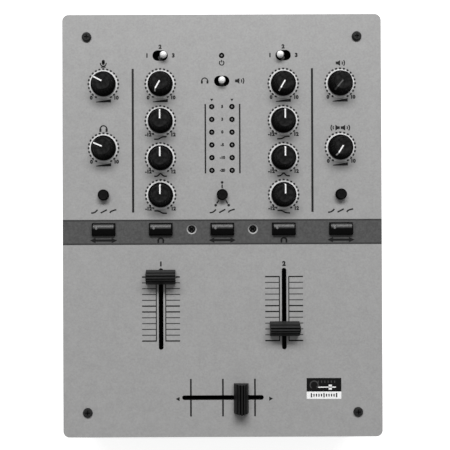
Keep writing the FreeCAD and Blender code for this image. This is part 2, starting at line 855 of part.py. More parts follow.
def rotary_knobs():
    """Skirted, tapering knobs with a groove on the crown for the white pointer."""
    bore = s.shaft_diameter / 2 + s.push_gap
    cavity = s.knob_cavity_diameter / 2
    ceiling = bushing_rise + s.knob_cavity_gap
    skirt_top = s.knob_lift + s.knob_skirt_height
    for name, (x, y, angle) in knobs.items():
        knob = turned(f"{name}_knob", [
            (bore, ceiling),
            (cavity, ceiling),
            (cavity, s.knob_lift),
            (s.knob_diameter / 2, s.knob_lift),
            (s.knob_diameter / 2, skirt_top),
            (s.knob_grip_diameter / 2, skirt_top + s.knob_grip_rise),
            (s.knob_crown_diameter / 2, s.knob_height),
            (0, s.knob_height),
            (0, s.shaft_rise),
            (bore, s.shaft_rise),
        ])
        rounded_rim(knob, s.knob_height, s.knob_crown_round)
        length = s.knob_crown_diameter / 2 + CUT_PAST
        depth = s.pointer_depth + CUT_PAST
        floor = s.knob_height - s.pointer_depth
        carved(knob, f"{name}_groove", s.pointer_width, length, depth, 0, 0, floor)
        put_turned(knob, x, y, panel_top, Z_AXIS, angle)
        keep(knob, f"{name}_knob")


def curve_knobs():
    """Small knobs moulded in one piece with their shafts, with a slot across the top."""
    bottom = board_top + s.pot_floor + s.running_gap
    radius = s.curve_diameter / 2
    shaft = s.curve_shaft_diameter / 2
    foot = panel_top + s.curve_lift - bottom
    top = panel_top + s.curve_rise - bottom
    for name, x in curves.items():
        knob = turned(f"{name}_knob", [
            (0, 0),
            (shaft, 0),
            (shaft, foot),
            (radius, foot),
            (radius, top),
            (0, top),
        ])
        rounded_rim(knob, top, s.knob_crown_round)
        depth = s.pointer_depth + CUT_PAST
        length = radius + CUT_PAST
        carved(knob, f"{name}_groove", s.pointer_width, length, depth, 0, 0, top - s.pointer_depth)
        put(knob, x, low_tone_row, bottom)
        keep(knob, f"{name}_knob")


def lever_switches():
    """Three switch bodies on the board, each with a round socket for its lever."""
    switches = []
    pivot = panel_under - s.toggle_pivot_drop
    for name, (x, y, side) in toggles.items():
        height = pivot + s.toggle_body_above_pivot - board_top
        case = block(f"{name}_case", s.toggle_body_length, s.toggle_body_width, height, x, y, board_top)
        socket = ball(f"{name}_socket", s.toggle_pivot_diameter + s.toggle_socket_gap * 2, x, y, pivot)
        reach = s.toggle_body_above_pivot + CUT_PAST
        mouth = rod(f"{name}_mouth", s.toggle_socket_mouth, reach, x, y, pivot)
        switches.append(cut(f"{name}_switch", case, join(f"{name}_hollow", socket, mouth)))
    keep(group("lever_switches", switches), "lever_switches")


def toggle_levers():
    """White levers that widen from a ball pivot to a round tip, thrown to their rest side."""
    pivot = panel_under - s.toggle_pivot_drop
    for name, (x, y, side) in toggles.items():
        neck = s.toggle_neck_diameter
        lever = join(
            f"{name}_lever",
            ball(f"{name}_pivot", s.toggle_pivot_diameter, 0, 0, 0),
            rod(f"{name}_neck", neck, s.toggle_arm, 0, 0, 0),
            taper(f"{name}_bat", neck, s.toggle_bat_diameter, s.toggle_arm / 2, 0, 0, s.toggle_arm / 2),
            ball(f"{name}_tip", s.toggle_tip_diameter, 0, 0, s.toggle_arm),
        )
        if side == 0:
            put(lever, x, y, pivot)
        else:
            put_turned(lever, x, y, pivot, Y_AXIS * side, s.toggle_throw)
        keep(lever, f"{name}_lever")


def indicator_lights():
    """Thirteen round lights on leads, their domes just below the panel's face."""
    parts = []
    dome = s.light_diameter / 2
    top = panel_top - s.light_recess
    low = top - dome - s.light_body_height
    for i, (x, y) in enumerate(lights):
        leads = [
            rod(f"light_{i}_lead_{k}", s.light_lead_diameter, low - board_top + s.light_flange_height / 2,
                x, y + s.light_lead_offset * side, board_top)
            for k, side in enumerate((-1, 1))
        ]
        parts.append(join(
            f"light_{i}",
            ball(f"light_{i}_dome", s.light_diameter, x, y, top - dome),
            rod(f"light_{i}_body", s.light_diameter, s.light_body_height, x, y, low),
            rod(f"light_{i}_flange", s.light_flange_diameter, s.light_flange_height, x, y, low),
            *leads,
        ))
    keep(group("indicator_lights", parts), "indicator_lights")


def button_switches():
    """Five push switches on the board, each with a well for its button's stem."""
    switches = []
    well = s.button_stem_diameter + s.button_gap
    depth = s.button_stem_entry + s.button_travel + s.button_gap
    for name, x in buttons.items():
        width, height = s.button_switch_width, s.button_switch_height
        case = block(f"{name}_switch_case", width, width, height, x, button_row, board_top)
        floor = board_top + height - depth
        hole = rod(f"{name}_well", well, depth + CUT_PAST, x, button_row, floor)
        switches.append(cut(f"{name}_switch", case, hole))
    keep(group("button_switches", switches), "button_switches")


def push_buttons():
    """Five long buttons with a wide bevel to the rear, a flange under the panel and a stem."""
    seat = panel_under - s.button_gap
    top = panel_top + s.button_rise - seat
    stem_bottom = board_top + s.button_switch_height - s.button_stem_entry
    half = s.button_depth / 2
    for name, x in buttons.items():
        cap = padded(f"{name}_cap", [
            (-half, 0),
            (half, 0),
            (half, top - s.button_rear_drop),
            (half - s.button_rear_bevel, top),
            (s.button_front_bevel - half, top),
            (-half, top - s.button_front_bevel),
        ], s.button_width)
        put(cap, x, button_row, seat, QUARTER_TURN)
        width = s.button_width + s.button_flange_edge * 2
        depth = s.button_depth + s.button_flange_edge * 2
        height = s.button_flange_height
        flange = block(f"{name}_flange", width, depth, height, x, button_row, seat - height)
        length = seat - stem_bottom
        stem = rod(f"{name}_stem", s.button_stem_diameter, length, x, button_row, stem_bottom)
        keep(join(f"{name}_button", cap, flange, stem), f"{name}_button")


def laid(along, length, width):
    """Lengths along X and Y of a thing that lies along one of them."""
    return (length, width) if along == "X" else (width, length)


def fader_frames():
    """Three metal frames under the panel, each with a slot above and two guide rods."""
    frames = []
    bottom = panel_under - s.fader_frame_height
    rod_level = panel_under - s.fader_rod_drop
    inner_length = s.fader_frame_length - s.fader_frame_wall * 2
    inner_width = s.fader_frame_width - s.fader_frame_wall * 2
    inner_height = s.fader_frame_height - s.fader_frame_wall + CUT_PAST
    for name, (x, y, along, rest) in faders.items():
        outer = laid(along, s.fader_frame_length, s.fader_frame_width)
        inner = laid(along, inner_length, inner_width)
        case = block(f"{name}_case", *outer, s.fader_frame_height, x, y, bottom)
        space = block(f"{name}_space", *inner, inner_height, x, y, bottom - CUT_PAST)
        deep = s.fader_frame_wall + CUT_PAST * 2
        low = panel_under - s.fader_frame_wall - CUT_PAST
        mouth = slot(f"{name}_mouth", s.fader_slot_length, s.fader_slot_width, deep, x, y, low, along)
        shell = cut(f"{name}_shell", case, join(f"{name}_hollow", space, mouth))
        length = s.fader_frame_length - s.fader_frame_wall
        rods = []
        for k, side in enumerate((-1, 1)):
            offset = s.fader_rod_spacing / 2 * side
            if along == "X":
                start = (x - length / 2, y + offset, rod_level, RIGHTWARD)
            else:
                start = (x + offset, y - length / 2, rod_level, REARWARD)
            rods.append(rod(f"{name}_rod_{k}", s.fader_rod_diameter, length, *start))
        frames.append(join(f"{name}_frame", shell, *rods))
    keep(group("fader_frames", frames), "fader_frames")


def fader_carriages():
    """The slider of each fader: a bored block on the guide rods with a flat stem."""
    rod_level = panel_under - s.fader_rod_drop
    bottom = rod_level - s.carriage_height / 2
    stem_top = panel_top + s.stem_rise
    bore = s.fader_rod_diameter + s.running_gap * 2
    for name, (x, y, along, rest) in faders.items():
        middle = (rest, y) if along == "X" else (x, rest)
        size = laid(along, s.carriage_length, s.carriage_width)
        slider = block(f"{name}_slider", *size, s.carriage_height, *middle, bottom)
        flat = laid(along, s.stem_length, s.stem_thickness)
        stem = block(f"{name}_stem", *flat, stem_top - rod_level, *middle, rod_level)
        length = s.carriage_length + CUT_PAST * 2
        bores = []
        for k, side in enumerate((-1, 1)):
            offset = s.fader_rod_spacing / 2 * side
            if along == "X":
                start = (rest - length / 2, y + offset, rod_level, RIGHTWARD)
            else:
                start = (x + offset, rest - length / 2, rod_level, REARWARD)
            bores.append(rod(f"{name}_bore_{k}", bore, length, *start))
        solid = cut(f"{name}_carriage", join(f"{name}_slider_stem", slider, stem), *bores)
        keep(solid, f"{name}_carriage")


def fader_caps():
    """Wide caps with two sloping faces to each side and a rib between grooves on the crest."""
    base = s.cap_length / 2
    skirt_top = s.cap_lift + s.cap_skirt_height
    shoulder = s.cap_shoulder_length / 2
    crest = s.cap_crest_length / 2
    rib = s.cap_rib_width / 2
    groove = s.cap_crest_rise - s.cap_groove_depth
    half = [
        (base, s.cap_lift),
        (base, skirt_top),
        (shoulder, s.cap_shoulder_rise),
        (shoulder - s.cap_step, s.cap_shoulder_rise),
        (crest, s.cap_crest_rise),
        (rib, groove),
        (rib, s.cap_rib_rise),
    ]
    whole = half + [(-x, z) for x, z in reversed(half)]
    for name, (x, y, along, rest) in faders.items():
        solid = padded(f"{name}_cap", whole, s.cap_width)
        length = s.stem_length + s.push_gap * 2
        width = s.stem_thickness + s.push_gap * 2
        depth = s.stem_rise + CUT_PAST
        carved(solid, f"{name}_pocket", length, width, depth, 0, -width / 2, -CUT_PAST)
        if along == "X":
            put(solid, rest, y, panel_top)
        else:
            put(solid, x, rest, panel_top, QUARTER_TURN)
        keep(solid, solid.Name)


def phono_sockets():
    """Six moulded blocks inside the rear panel, each with two round sockets through it."""
    sockets = []
    depth = s.phono_block_depth
    height = s.phono_row_spacing + s.phono_block_edge * 2
    middle = rear_inner - depth / 2
    reach = s.rear_plate_thickness + s.phono_reach
    for i, x in enumerate(phono_columns):
        low = socket_level - height / 2
        case = block(f"phono_case_{i}", s.phono_block_width, depth, height, x, middle, low)
        barrels, bores = [], []
        for k, z in enumerate(phono_rows):
            length = depth / 2 + reach
            barrels.append(rod(f"phono_barrel_{i}_{k}", s.phono_diameter, length, x, middle, z, REARWARD))
            length = depth / 2 + s.rear_plate_thickness + s.phono_collar_reach
            collar = s.phono_collar_diameter
            barrels.append(rod(f"phono_collar_{i}_{k}", collar, length, x, middle, z, REARWARD))
            start = rear_inner + reach - s.phono_bore_depth
            length = s.phono_bore_depth + CUT_PAST
            bores.append(rod(f"phono_bore_{i}_{k}", s.phono_bore_diameter, length, x, start, z, REARWARD))
        sockets.append(cut(f"phono_{i}", join(f"phono_body_{i}", case, *barrels), *bores))
    keep(group("phono_sockets", sockets), "phono_sockets")


def jack_sockets():
    """The mic socket at the rear and the phones socket at the front."""
    sockets = []
    width, depth = s.jack_body_width, s.jack_body_depth
    low = socket_level - width / 2
    places = [
        ("mic_socket", rear_inner - depth / 2, rear_inner, s.rear_plate_thickness, REARWARD, 1),
        ("phones_socket", front_inner + depth / 2, front_inner, s.tray_wall, FORWARD, -1),
    ]
    for name, middle, plane, plate, turn, way in places:
        x = jack_column
        case = block(f"{name}_case", width, depth, width, x, middle, low)
        reach = plate + s.jack_bushing_reach
        length = depth / 2 + reach
        bushing = rod(f"{name}_bushing", s.jack_bushing_diameter, length, x, middle, socket_level, turn)
        start = plane + (reach - s.jack_bore_depth) * way
        length = s.jack_bore_depth + CUT_PAST
        bore = rod(f"{name}_bore", s.jack_bore_diameter, length, x, start, socket_level, turn)
        sockets.append(cut(name, join(f"{name}_body", case, bushing), bore))
    keep(group("jack_sockets", sockets), "jack_sockets")


def power_inlet():
    """The round low-voltage inlet with its centre pin."""
    x = inlet_column
    width, depth = s.inlet_body_width, s.inlet_body_depth
    middle = rear_inner - depth / 2
    reach = s.rear_plate_thickness + s.jack_bushing_reach
    case = block("inlet_case", width, depth, width, x, middle, socket_level - width / 2)
    length = depth / 2 + reach
    bushing = rod("inlet_bushing", s.inlet_bushing_diameter, length, x, middle, socket_level, REARWARD)
    floor = rear_inner + reach - s.inlet_bore_depth
    length = s.inlet_bore_depth + CUT_PAST
    bore = rod("inlet_bore", s.inlet_bore_diameter, length, x, floor, socket_level, REARWARD)
    hollow = cut("inlet_hollow", join("inlet_body", case, bushing), bore)
    start = floor - CUT_PAST
    length = s.inlet_pin_length + CUT_PAST
    pin = rod("inlet_pin", s.inlet_pin_diameter, length, x, start, socket_level, REARWARD)
    keep(join("power_inlet", hollow, pin), "power_inlet")


def power_switch_housing():
    """The frame of the power switch: a bezel outside, a box inside and a round hollow between."""
    x = rocker_column
    bezel_height, body_height = s.bezel_height, s.switch_body_height
    bezel_middle = rear_face + s.bezel_thickness / 2
    bezel = block("bezel", s.bezel_width, s.bezel_thickness, bezel_height,
                  x, bezel_middle, socket_level - bezel_height / 2)
    body_middle = rear_face - s.switch_body_depth / 2
    body = block("switch_body", s.switch_body_width, s.switch_body_depth, body_height,
                 x, body_middle, socket_level - body_height / 2)
    width = s.rocker_width + s.rocker_side_gap * 2
    reach = s.rocker_reach + s.rocker_side_gap
    hollow = rod("switch_hollow", reach * 2, width, x - width / 2, rocker_pivot, socket_level, RIGHTWARD)
    bore = s.rocker_pin_diameter + s.running_gap * 2
    length = s.rocker_width + (s.rocker_pin_length + s.rocker_side_gap) * 2
    pins = rod("switch_pin_bore", bore, length, x - length / 2, rocker_pivot, socket_level, RIGHTWARD)
    whole = join("switch_frame", bezel, body)
    keep(cut("power_switch_housing", whole, join("switch_spaces", hollow, pins)), "power_switch_housing")


def power_rocker():
    """The rocker: a shallow V-faced bar on two side pins, resting with its upper end in."""
    half, face = s.rocker_half_height, s.rocker_face
    bar = padded("rocker_bar", [
        (-s.rocker_back, -half),
        (face, -half),
        (s.rocker_valley, 0),
        (face, half),
        (-s.rocker_back, half),
    ], s.rocker_width)
    bar.Placement = FreeCAD.Placement(FreeCAD.Vector(), QUARTER_TURN)
    length = s.rocker_width + s.rocker_pin_length * 2
    pins = rod("rocker_pins", s.rocker_pin_diameter, length, -length / 2, 0, 0, RIGHTWARD)
    rocker = join("power_rocker", bar, pins)
    put_turned(rocker, rocker_column, rocker_pivot, socket_level, X_AXIS, s.rocker_throw)
    keep(rocker, "power_rocker")


def check_model():
    """Stop if any object failed or any piece is empty or broken."""
    for thing in doc.Objects:
        if "Invalid" in thing.State or "Error" in thing.State:
            raise RuntimeError(f"{thing.Name} failed: {thing.State}")
    for piece in pieces:
        if piece.Shape.isNull() or not piece.Shape.isValid():
            raise RuntimeError(f"{piece.Label} has no valid shape")
        if not piece.Shape.Solids:
            raise RuntimeError(f"{piece.Label} has no solid")


def write_pieces():
    """Write each piece to its own file."""
    os.makedirs("parts", exist_ok=True)
    for piece in pieces:
        piece.Shape.exportStep(f"parts/{piece.Label}.step")
        volume = piece.Shape.Volume
        print(f"{piece.Label}: {len(piece.Shape.Solids)} solid(s), {volume:.1f} mm3")


top_panel()
base_tray()
rear_panel()
rubber_feet()
panel_screws()
case_fasteners()
spacer_posts()
control_board()
rotary_pots()
pot_nuts()
rotary_shafts()
rotary_knobs()
curve_knobs()
lever_switches()
toggle_levers()
indicator_lights()
button_switches()
push_buttons()
fader_frames()
fader_carriages()
fader_caps()
phono_sockets()
jack_sockets()
power_inlet()
power_switch_housing()
power_rocker()
doc.recompute()
check_model()
write_pieces()
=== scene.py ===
"""A two-channel DJ mixer seen from straight above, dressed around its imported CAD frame."""

import json
import math

import bmesh
import bpy
from mathutils import Matrix, Vector


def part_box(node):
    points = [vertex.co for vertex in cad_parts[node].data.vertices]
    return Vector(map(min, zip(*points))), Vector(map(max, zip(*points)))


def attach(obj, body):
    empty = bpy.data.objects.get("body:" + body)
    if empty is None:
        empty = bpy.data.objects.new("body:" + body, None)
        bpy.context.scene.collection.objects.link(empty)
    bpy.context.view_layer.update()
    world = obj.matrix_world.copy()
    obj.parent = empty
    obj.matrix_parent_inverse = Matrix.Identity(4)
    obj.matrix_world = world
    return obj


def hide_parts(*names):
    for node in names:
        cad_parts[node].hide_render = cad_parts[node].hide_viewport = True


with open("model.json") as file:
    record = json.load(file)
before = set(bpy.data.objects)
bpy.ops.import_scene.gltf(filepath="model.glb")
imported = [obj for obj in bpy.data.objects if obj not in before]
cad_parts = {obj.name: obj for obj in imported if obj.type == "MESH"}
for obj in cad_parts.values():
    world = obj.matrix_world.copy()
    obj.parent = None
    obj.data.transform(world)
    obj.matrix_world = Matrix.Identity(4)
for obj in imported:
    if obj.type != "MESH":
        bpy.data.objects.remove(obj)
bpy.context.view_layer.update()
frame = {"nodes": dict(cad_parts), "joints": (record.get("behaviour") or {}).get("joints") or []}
nodes = frame["nodes"]
joints = {joint["name"]: joint for joint in frame["joints"]}

# Lengths below are in millimetres, in the frame of the CAD model.
MM = 0.001
PANEL_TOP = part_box("top_panel")[1].z / MM
REAR_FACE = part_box("rear_panel")[1].y / MM
KNOB_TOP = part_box("mic_level_knob")[1].z / MM - PANEL_TOP
CURVE_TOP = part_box("ch1_curve_knob")[1].z / MM - PANEL_TOP
CAP_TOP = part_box("ch1_fader_cap")[1].z / MM - PANEL_TOP
BUTTON_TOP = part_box("ch1_cue_button")[1].z / MM - PANEL_TOP
SCREW_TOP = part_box("panel_screws")[1].z / MM
SHAFT_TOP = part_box("mic_level_shaft")[1].z / MM - PANEL_TOP
SHARP_ANGLE = math.radians(32)
SOFT_ANGLE = math.radians(12)

# Camera and light; the distances and sizes of lamps, floor and reach are in metres
CAMERA_X = -22.0
CAMERA_Y = -16.0
CAMERA_ABOVE_PANEL = 670.0
CAMERA_TURN = (math.radians(0.21), math.radians(-0.06), math.radians(-0.22))
CAMERA_SHIFT = (0.0653, 0.0392)
CAMERA_LENS = 67.33
SENSOR = 36.0
CAMERA_REACH = 100.0
KEY_LAMPS = 7
KEY_DISTANCE = 3.3
KEY_SPREAD = math.radians(66)
KEY_ELEVATION = math.radians(47)
KEY_SIZE = 0.8
KEY_POWER = 16.1
AMBIENT = 0.25
FLOOR_SIZE = 40.0
BACKDROP_HEIGHT = 6.0
FLOOR_TONE = 0.8
FLOOR_GLOW = 0.8

# Panel paint: display levels from 0 to 255, and where each tone lies
PAINT_LEVEL = 158
PAINT_WARMTH = 0.004
BAND_LEVEL = 75
BAND_EDGE_LEVEL = 46
# Painted shade: the near-black level of the walls inside the panel's holes and slots
HOLE_SHADE_LEVEL = 12
BARE_METAL_LEVEL = 168
BAND_REAR = 4.9
BAND_FRONT = -15.2
BAND_EDGE = 1.3
SUNK_COLUMN = 24.4
SUNK_RADIUS = 4.5
TOP_TOLERANCE = 0.2
HOLES_HALF_WIDTH = 120.0
HOLES_HALF_DEPTH = 160.0

# Other looks
SCREW_RECESS = 0.15
RECESS_FLOOR_UPRIGHT = 0.97
RECESS_WALL_UPRIGHT = 0.3
LEVER_SCATTER = 4.0
# How upright a lens dome's surface is where its painted shade ends and its painted light begins
LENS_SHADE_UPRIGHT = 0.72
LENS_LIT_UPRIGHT = 0.96
PHONO_MIDDLE = 39.0
COLLAR_RISE = 1.02
COLLAR_SINK = 0.6
COLLAR_RED = (0.42, 0.02, 0.02, 1.0)

# Printed layout
PRINT_DEPTH = 0.02
PRINT_RISE = 0.03
LEVEL_COLUMN = 94.3
CHANNEL_COLUMN = 49.0
DIAL_END = 150


def linear(level):
    """The linear value of an 8-bit display level."""
    share = level / 255
    return share / 12.92 if share <= 0.04045 else ((share + 0.055) / 1.055) ** 2.4


def grey(level, warmth=0.0):
    """A linear colour of one display level, a little warmer or cooler."""
    value = linear(level)
    return (value * (1 + warmth), value, value * (1 - warmth), 1.0)


# Materials

class Surface:
    """A Principled material that is put together from a few procedural layers."""

    def __init__(self, name, roughness, metallic=0.0, specular=0.5):
        self.material = bpy.data.materials.new(name)
        self.material.use_nodes = True
        self.tree = self.material.node_tree
        self.shader = self.tree.nodes["Principled BSDF"]
        self.shader.inputs["Roughness"].default_value = roughness
        self.shader.inputs["Metallic"].default_value = metallic
        self.shader.inputs["Specular IOR Level"].default_value = specular
        self.coordinates = self.node("ShaderNodeTexCoord").outputs["Object"]

    def node(self, kind, **settings):
        made = self.tree.nodes.new(kind)
        for key, value in settings.items():
            setattr(made, key, value)
        return made

    def link(self, output, target):
        self.tree.links.new(output, target)

    def noise(self, size, detail=3.0, stretch=(1, 1, 1)):
        """Noise whose features are about this size in millimetres."""
        mapping = self.node("ShaderNodeMapping")
        mapping.inputs["Scale"].default_value = stretch
        self.link(self.coordinates, mapping.inputs["Vector"])
        texture = self.node("ShaderNodeTexNoise")
        texture.inputs["Scale"].default_value = 1 / (size * MM)
        texture.inputs["Detail"].default_value = detail
        self.link(mapping.outputs["Vector"], texture.inputs["Vector"])
        return texture.outputs["Fac"]

    def span(self, value, low, high, start=0.3, stop=0.7):
        """A value spread over a range."""
        made = self.node("ShaderNodeMapRange")
        made.inputs["From Min"].default_value = start
        made.inputs["From Max"].default_value = stop
        made.inputs["To Min"].default_value = low
        made.inputs["To Max"].default_value = high
        self.link(value, made.inputs["Value"])
        return made.outputs["Result"]

    def math(self, operation, first, second, third=None):
        made = self.node("ShaderNodeMath", operation=operation)
        for slot, value in zip(made.inputs, (first, second, third)):
            if value is None:
                continue
            if isinstance(value, (int, float)):
                slot.default_value = value
            else:
                self.link(value, slot)
        return made.outputs["Value"]

    def mix(self, share, first, second):
        """Two colours mixed by a share; each is a colour or an output."""
        made = self.node("ShaderNodeMix", data_type="RGBA")
        self.link(share, made.inputs[0])
        for slot, value in ((made.inputs[6], first), (made.inputs[7], second)):
            if isinstance(value, tuple):
                slot.default_value = value
            else:
                self.link(value, slot)
        return made.outputs[2]

    def axis(self, name):
        """One coordinate of the surface point, in metres."""
        split = self.node("ShaderNodeSeparateXYZ")
        self.link(self.coordinates, split.inputs["Vector"])
        return split.outputs[name]

    def colour(self, output):
        self.link(output, self.shader.inputs["Base Color"])

    def tint(self, colour, amount, size, detail=3.0, stretch=(1, 1, 1)):
        """A colour that drifts a little darker and lighter over a distance."""
        dark = tuple(c * (1 - amount) for c in colour[:3]) + (1.0,)
        light = tuple(c * (1 + amount) for c in colour[:3]) + (1.0,)
        share = self.span(self.noise(size, detail, stretch), 0.0, 1.0)
        return self.mix(share, dark, light)

    def rough(self, low, high, size, stretch=(1, 1, 1)):
        value = self.span(self.noise(size, 3.0, stretch), low, high)
        self.link(value, self.shader.inputs["Roughness"])

    def bump(self, height, depth):
        """Relief of a depth in millimetres."""
        made = self.node("ShaderNodeBump")
        made.inputs["Distance"].default_value = depth * MM
        self.link(height, made.inputs["Height"])
        self.link(made.outputs["Normal"], self.shader.inputs["Normal"])


def panel_paint():
    """Satin grey powder coat with a dark printed band, painted shade on the walls of its holes and
    two bare countersinks.
    """
    made = Surface("panel_paint", 0.45)
    tone = grey(PAINT_LEVEL, PAINT_WARMTH)
    speckle = made.tint(tone, 0.15, 1.3, 4.0)
    drift = made.tint(tone, 0.07, 8.0)
    paint = made.mix(made.math("MULTIPLY", made.noise(6.0), 0.9), speckle, drift)
    column = made.axis("X")
    row = made.axis("Y")
    on_top = made.math("COMPARE", made.axis("Z"), PANEL_TOP * MM, TOP_TOLERANCE * MM)

    # The band has a darker line along each edge
    middle = (BAND_REAR + BAND_FRONT) / 2 * MM
    half = (BAND_REAR - BAND_FRONT) / 2 * MM
    band_rows = made.math("COMPARE", row, middle, half)
    inside = made.math("COMPARE", row, middle, half - BAND_EDGE * MM)
    band_tone = made.mix(inside, grey(BAND_EDGE_LEVEL), made.tint(grey(BAND_LEVEL), 0.25, 1.6, 4.0))
    shown = made.mix(made.math("MULTIPLY", band_rows, on_top), paint, band_tone)

    # Below the top face, inside the panel's rim and off the band, lie the walls of its holes; they
    # are coloured near-black as painted shade
    near_x = made.math("COMPARE", column, 0.0, HOLES_HALF_WIDTH * MM)
    near_y = made.math("COMPARE", row, 0.0, HOLES_HALF_DEPTH * MM)
    below = made.math("SUBTRACT", made.math("MULTIPLY", near_x, near_y), on_top)
    wall = made.math("MAXIMUM", made.math("SUBTRACT", below, band_rows), 0.0)
    shown = made.mix(wall, shown, grey(HOLE_SHADE_LEVEL))

    # The countersinks of the two sunk screws are bare
    off_middle = made.math("ABSOLUTE", column, 0.0)
    sunk_columns = made.math("COMPARE", off_middle, SUNK_COLUMN * MM, SUNK_RADIUS * MM)
    sunk = made.math("MULTIPLY", band_rows, sunk_columns)
    bare = made.math("MAXIMUM", made.math("SUBTRACT", sunk, on_top), 0.0)
    made.colour(made.mix(bare, shown, grey(BARE_METAL_LEVEL)))
    made.rough(0.42, 0.52, 1.2)
    made.bump(made.noise(0.35, 2.0), 0.012)
    return made.material


def moulding(
    name, level, roughness, specular, grain=0.25, relief=0.01, fleck=0.12, fleck_size=1.5,
):
    """Moulded plastic with a fine spark-eroded grain and paler flecks."""
    made = Surface(name, roughness, specular=specular)
    made.colour(made.tint(grey(level), fleck, fleck_size))
    made.rough(roughness - 0.05, roughness + 0.06, 0.8)
    made.bump(made.noise(grain, 2.0), relief)
    return made.material


def coat(name, level, roughness, grain, relief, metallic=0.0, spread=0.1):
    """Paint or plating over metal, with its own grain."""
    made = Surface(name, roughness, metallic=metallic)
    made.colour(made.tint(grey(level), spread, grain * 6))
    made.rough(roughness - 0.06, roughness + 0.08, grain * 3)
    made.bump(made.noise(grain, 3.0), relief)
    return made.material


def polished(name, level, roughness, specular):
    """A polished facet, almost even, for a painted highlight lighter than the plastic around it."""
    made = Surface(name, roughness, specular=specular)
    made.colour(made.tint(grey(level), 0.06, 5.0))
    made.rough(roughness - 0.015, roughness + 0.015, 5.0)
    made.bump(made.noise(3.0, 1.0), 0.0005)
    return made.material


def lever_plastic():
    """White nylon, through which a little light passes."""
    made = Surface("lever_plastic", 0.3)
    made.shader.inputs["Subsurface Weight"].default_value = 1.0
    made.shader.inputs["Subsurface Radius"].default_value = (1.0, 1.0, 1.0)
    made.shader.inputs["Subsurface Scale"].default_value = LEVER_SCATTER * MM
    made.colour(made.tint(grey(250), 0.03, 1.5))
    made.rough(0.26, 0.36, 0.8)
    made.bump(made.noise(0.4, 2.0), 0.004)
    return made.material


def screw_look():
    """Dark plating on the panel screws, patchy on the heads, with painted shade that makes the
    floors and walls of their cross-shaped hollows near-black.
    """
    made = Surface("panel_screw_plating_recess_shade", 0.4, specular=0.15)
    split = made.node("ShaderNodeSeparateXYZ")
    made.link(made.node("ShaderNodeNewGeometry").outputs["Normal"], split.inputs["Vector"])
    upright = split.outputs["Z"]
    # Painted shade: below the head's top, the flat floors and the steep walls of the cross-shaped
    # hollow are coloured near-black
    below = made.math("LESS_THAN", made.axis("Z"), (SCREW_TOP - SCREW_RECESS) * MM)
    floor = made.math("MULTIPLY", below, made.math("GREATER_THAN", upright, RECESS_FLOOR_UPRIGHT))
    wall = made.math("LESS_THAN", upright, RECESS_WALL_UPRIGHT)
    recess = made.math("MAXIMUM", floor, wall)
    made.colour(made.mix(recess, made.tint(grey(38), 0.5, 1.2), grey(3)))
    made.rough(0.36, 0.5, 0.7)
    made.bump(made.noise(0.25, 3.0), 0.01)
    return made.material


def brushed(name, level, roughness):
    """Zinc plated or brushed metal, with long fine scratches."""
    made = Surface(name, roughness, metallic=1.0)
    made.colour(made.tint(grey(level, 0.01), 0.12, 1.2, 3.0, (1, 1, 0.08)))
    made.rough(roughness - 0.08, roughness + 0.1, 0.5, (1, 1, 0.06))
    made.bump(made.noise(0.2, 2.0, (1, 1, 0.05)), 0.004)
    return made.material


def ink(name, level, roughness=0.5):
    """Screen-printed ink, not quite even."""
    made = Surface(name, roughness, specular=0.3)
    made.colour(made.tint(grey(level), 0.15, 0.7))
    made.bump(made.noise(0.3, 2.0), 0.004)
    return made.material


def phono_look():
    """Nickel barrels in white and red collars on a black moulding."""
    made = Surface("phono_parts", 0.4)
    depth = made.axis("Y")
    is_barrel = made.math("GREATER_THAN", depth, (REAR_FACE + COLLAR_RISE) * MM)
    is_collar = made.math("GREATER_THAN", depth, (REAR_FACE - COLLAR_SINK) * MM)
    is_upper = made.math("GREATER_THAN", made.axis("Z"), PHONO_MIDDLE * MM)
    red = made.tint(COLLAR_RED, 0.1, 1.0)
    white = made.tint(grey(232), 0.04, 1.0)
    black = made.tint(grey(28), 0.12, 1.0)
    collar = made.mix(is_upper, red, white)
    shown = made.mix(is_collar, black, collar)
    made.colour(made.mix(is_barrel, shown, grey(205)))
    made.link(is_barrel, made.shader.inputs["Metallic"])
    made.link(made.span(is_barrel, 0.45, 0.24, 0.0, 1.0), made.shader.inputs["Roughness"])
    made.bump(made.noise(0.3, 2.0), 0.004)
    return made.material


def lens(name, level):
    """Diffused light lens, with painted light on the crown of its dome and near-black painted shade
    round its side.
    """
    made = Surface(name, 0.35, specular=0.3)
    split = made.node("ShaderNodeSeparateXYZ")
    made.link(made.node("ShaderNodeNewGeometry").outputs["Normal"], split.inputs["Vector"])
    # Painted light and shade: upward faces of the dome get the lens colour, steep sides near-black
    crown = made.span(split.outputs["Z"], 0.0, 1.0, LENS_SHADE_UPRIGHT, LENS_LIT_UPRIGHT)
    made.colour(made.mix(crown, grey(10), made.tint(grey(level), 0.1, 0.8)))
    made.rough(0.3, 0.4, 0.6)
    return made.material


PANEL = panel_paint()
CASE = coat("case_paint", 34, 0.55, 0.35, 0.05)
# Lit and shaded copies of one knob plastic: the crown lighter as painted light, the grip and skirt
# darker as painted shade
KNOB_SHADED_SIDE = moulding("knob_plastic", 9, 0.55, 0.05, fleck=0.8, fleck_size=1.7)
KNOB_LIT_CROWN = moulding(
    "knob_crown_painted_light", 25, 0.5, 0.06, grain=0.7, relief=0.06, fleck=0.9, fleck_size=1.7,
)
# Painted shade and light on the small knobs: the rim near-black, the middle of the top and its
# raised line lighter
KNOB_RIM_SHADED = moulding("knob_rim_painted_shade", 3, 0.6, 0.03)
CURVE_DISH_LIT = moulding(
    "curve_dish_painted_light", 20, 0.5, 0.05, grain=0.5, relief=0.03, fleck=0.5, fleck_size=1.2,
)
CAP = moulding("cap_plastic", 46, 0.45, 0.05)
# The crossfader's cap: a darker copy of the cap plastic, as painted shade on its sideways-facing
# slopes
CROSS_CAP_SHADED = moulding("crossfader_cap_painted_shade", 32, 0.45, 0.05)
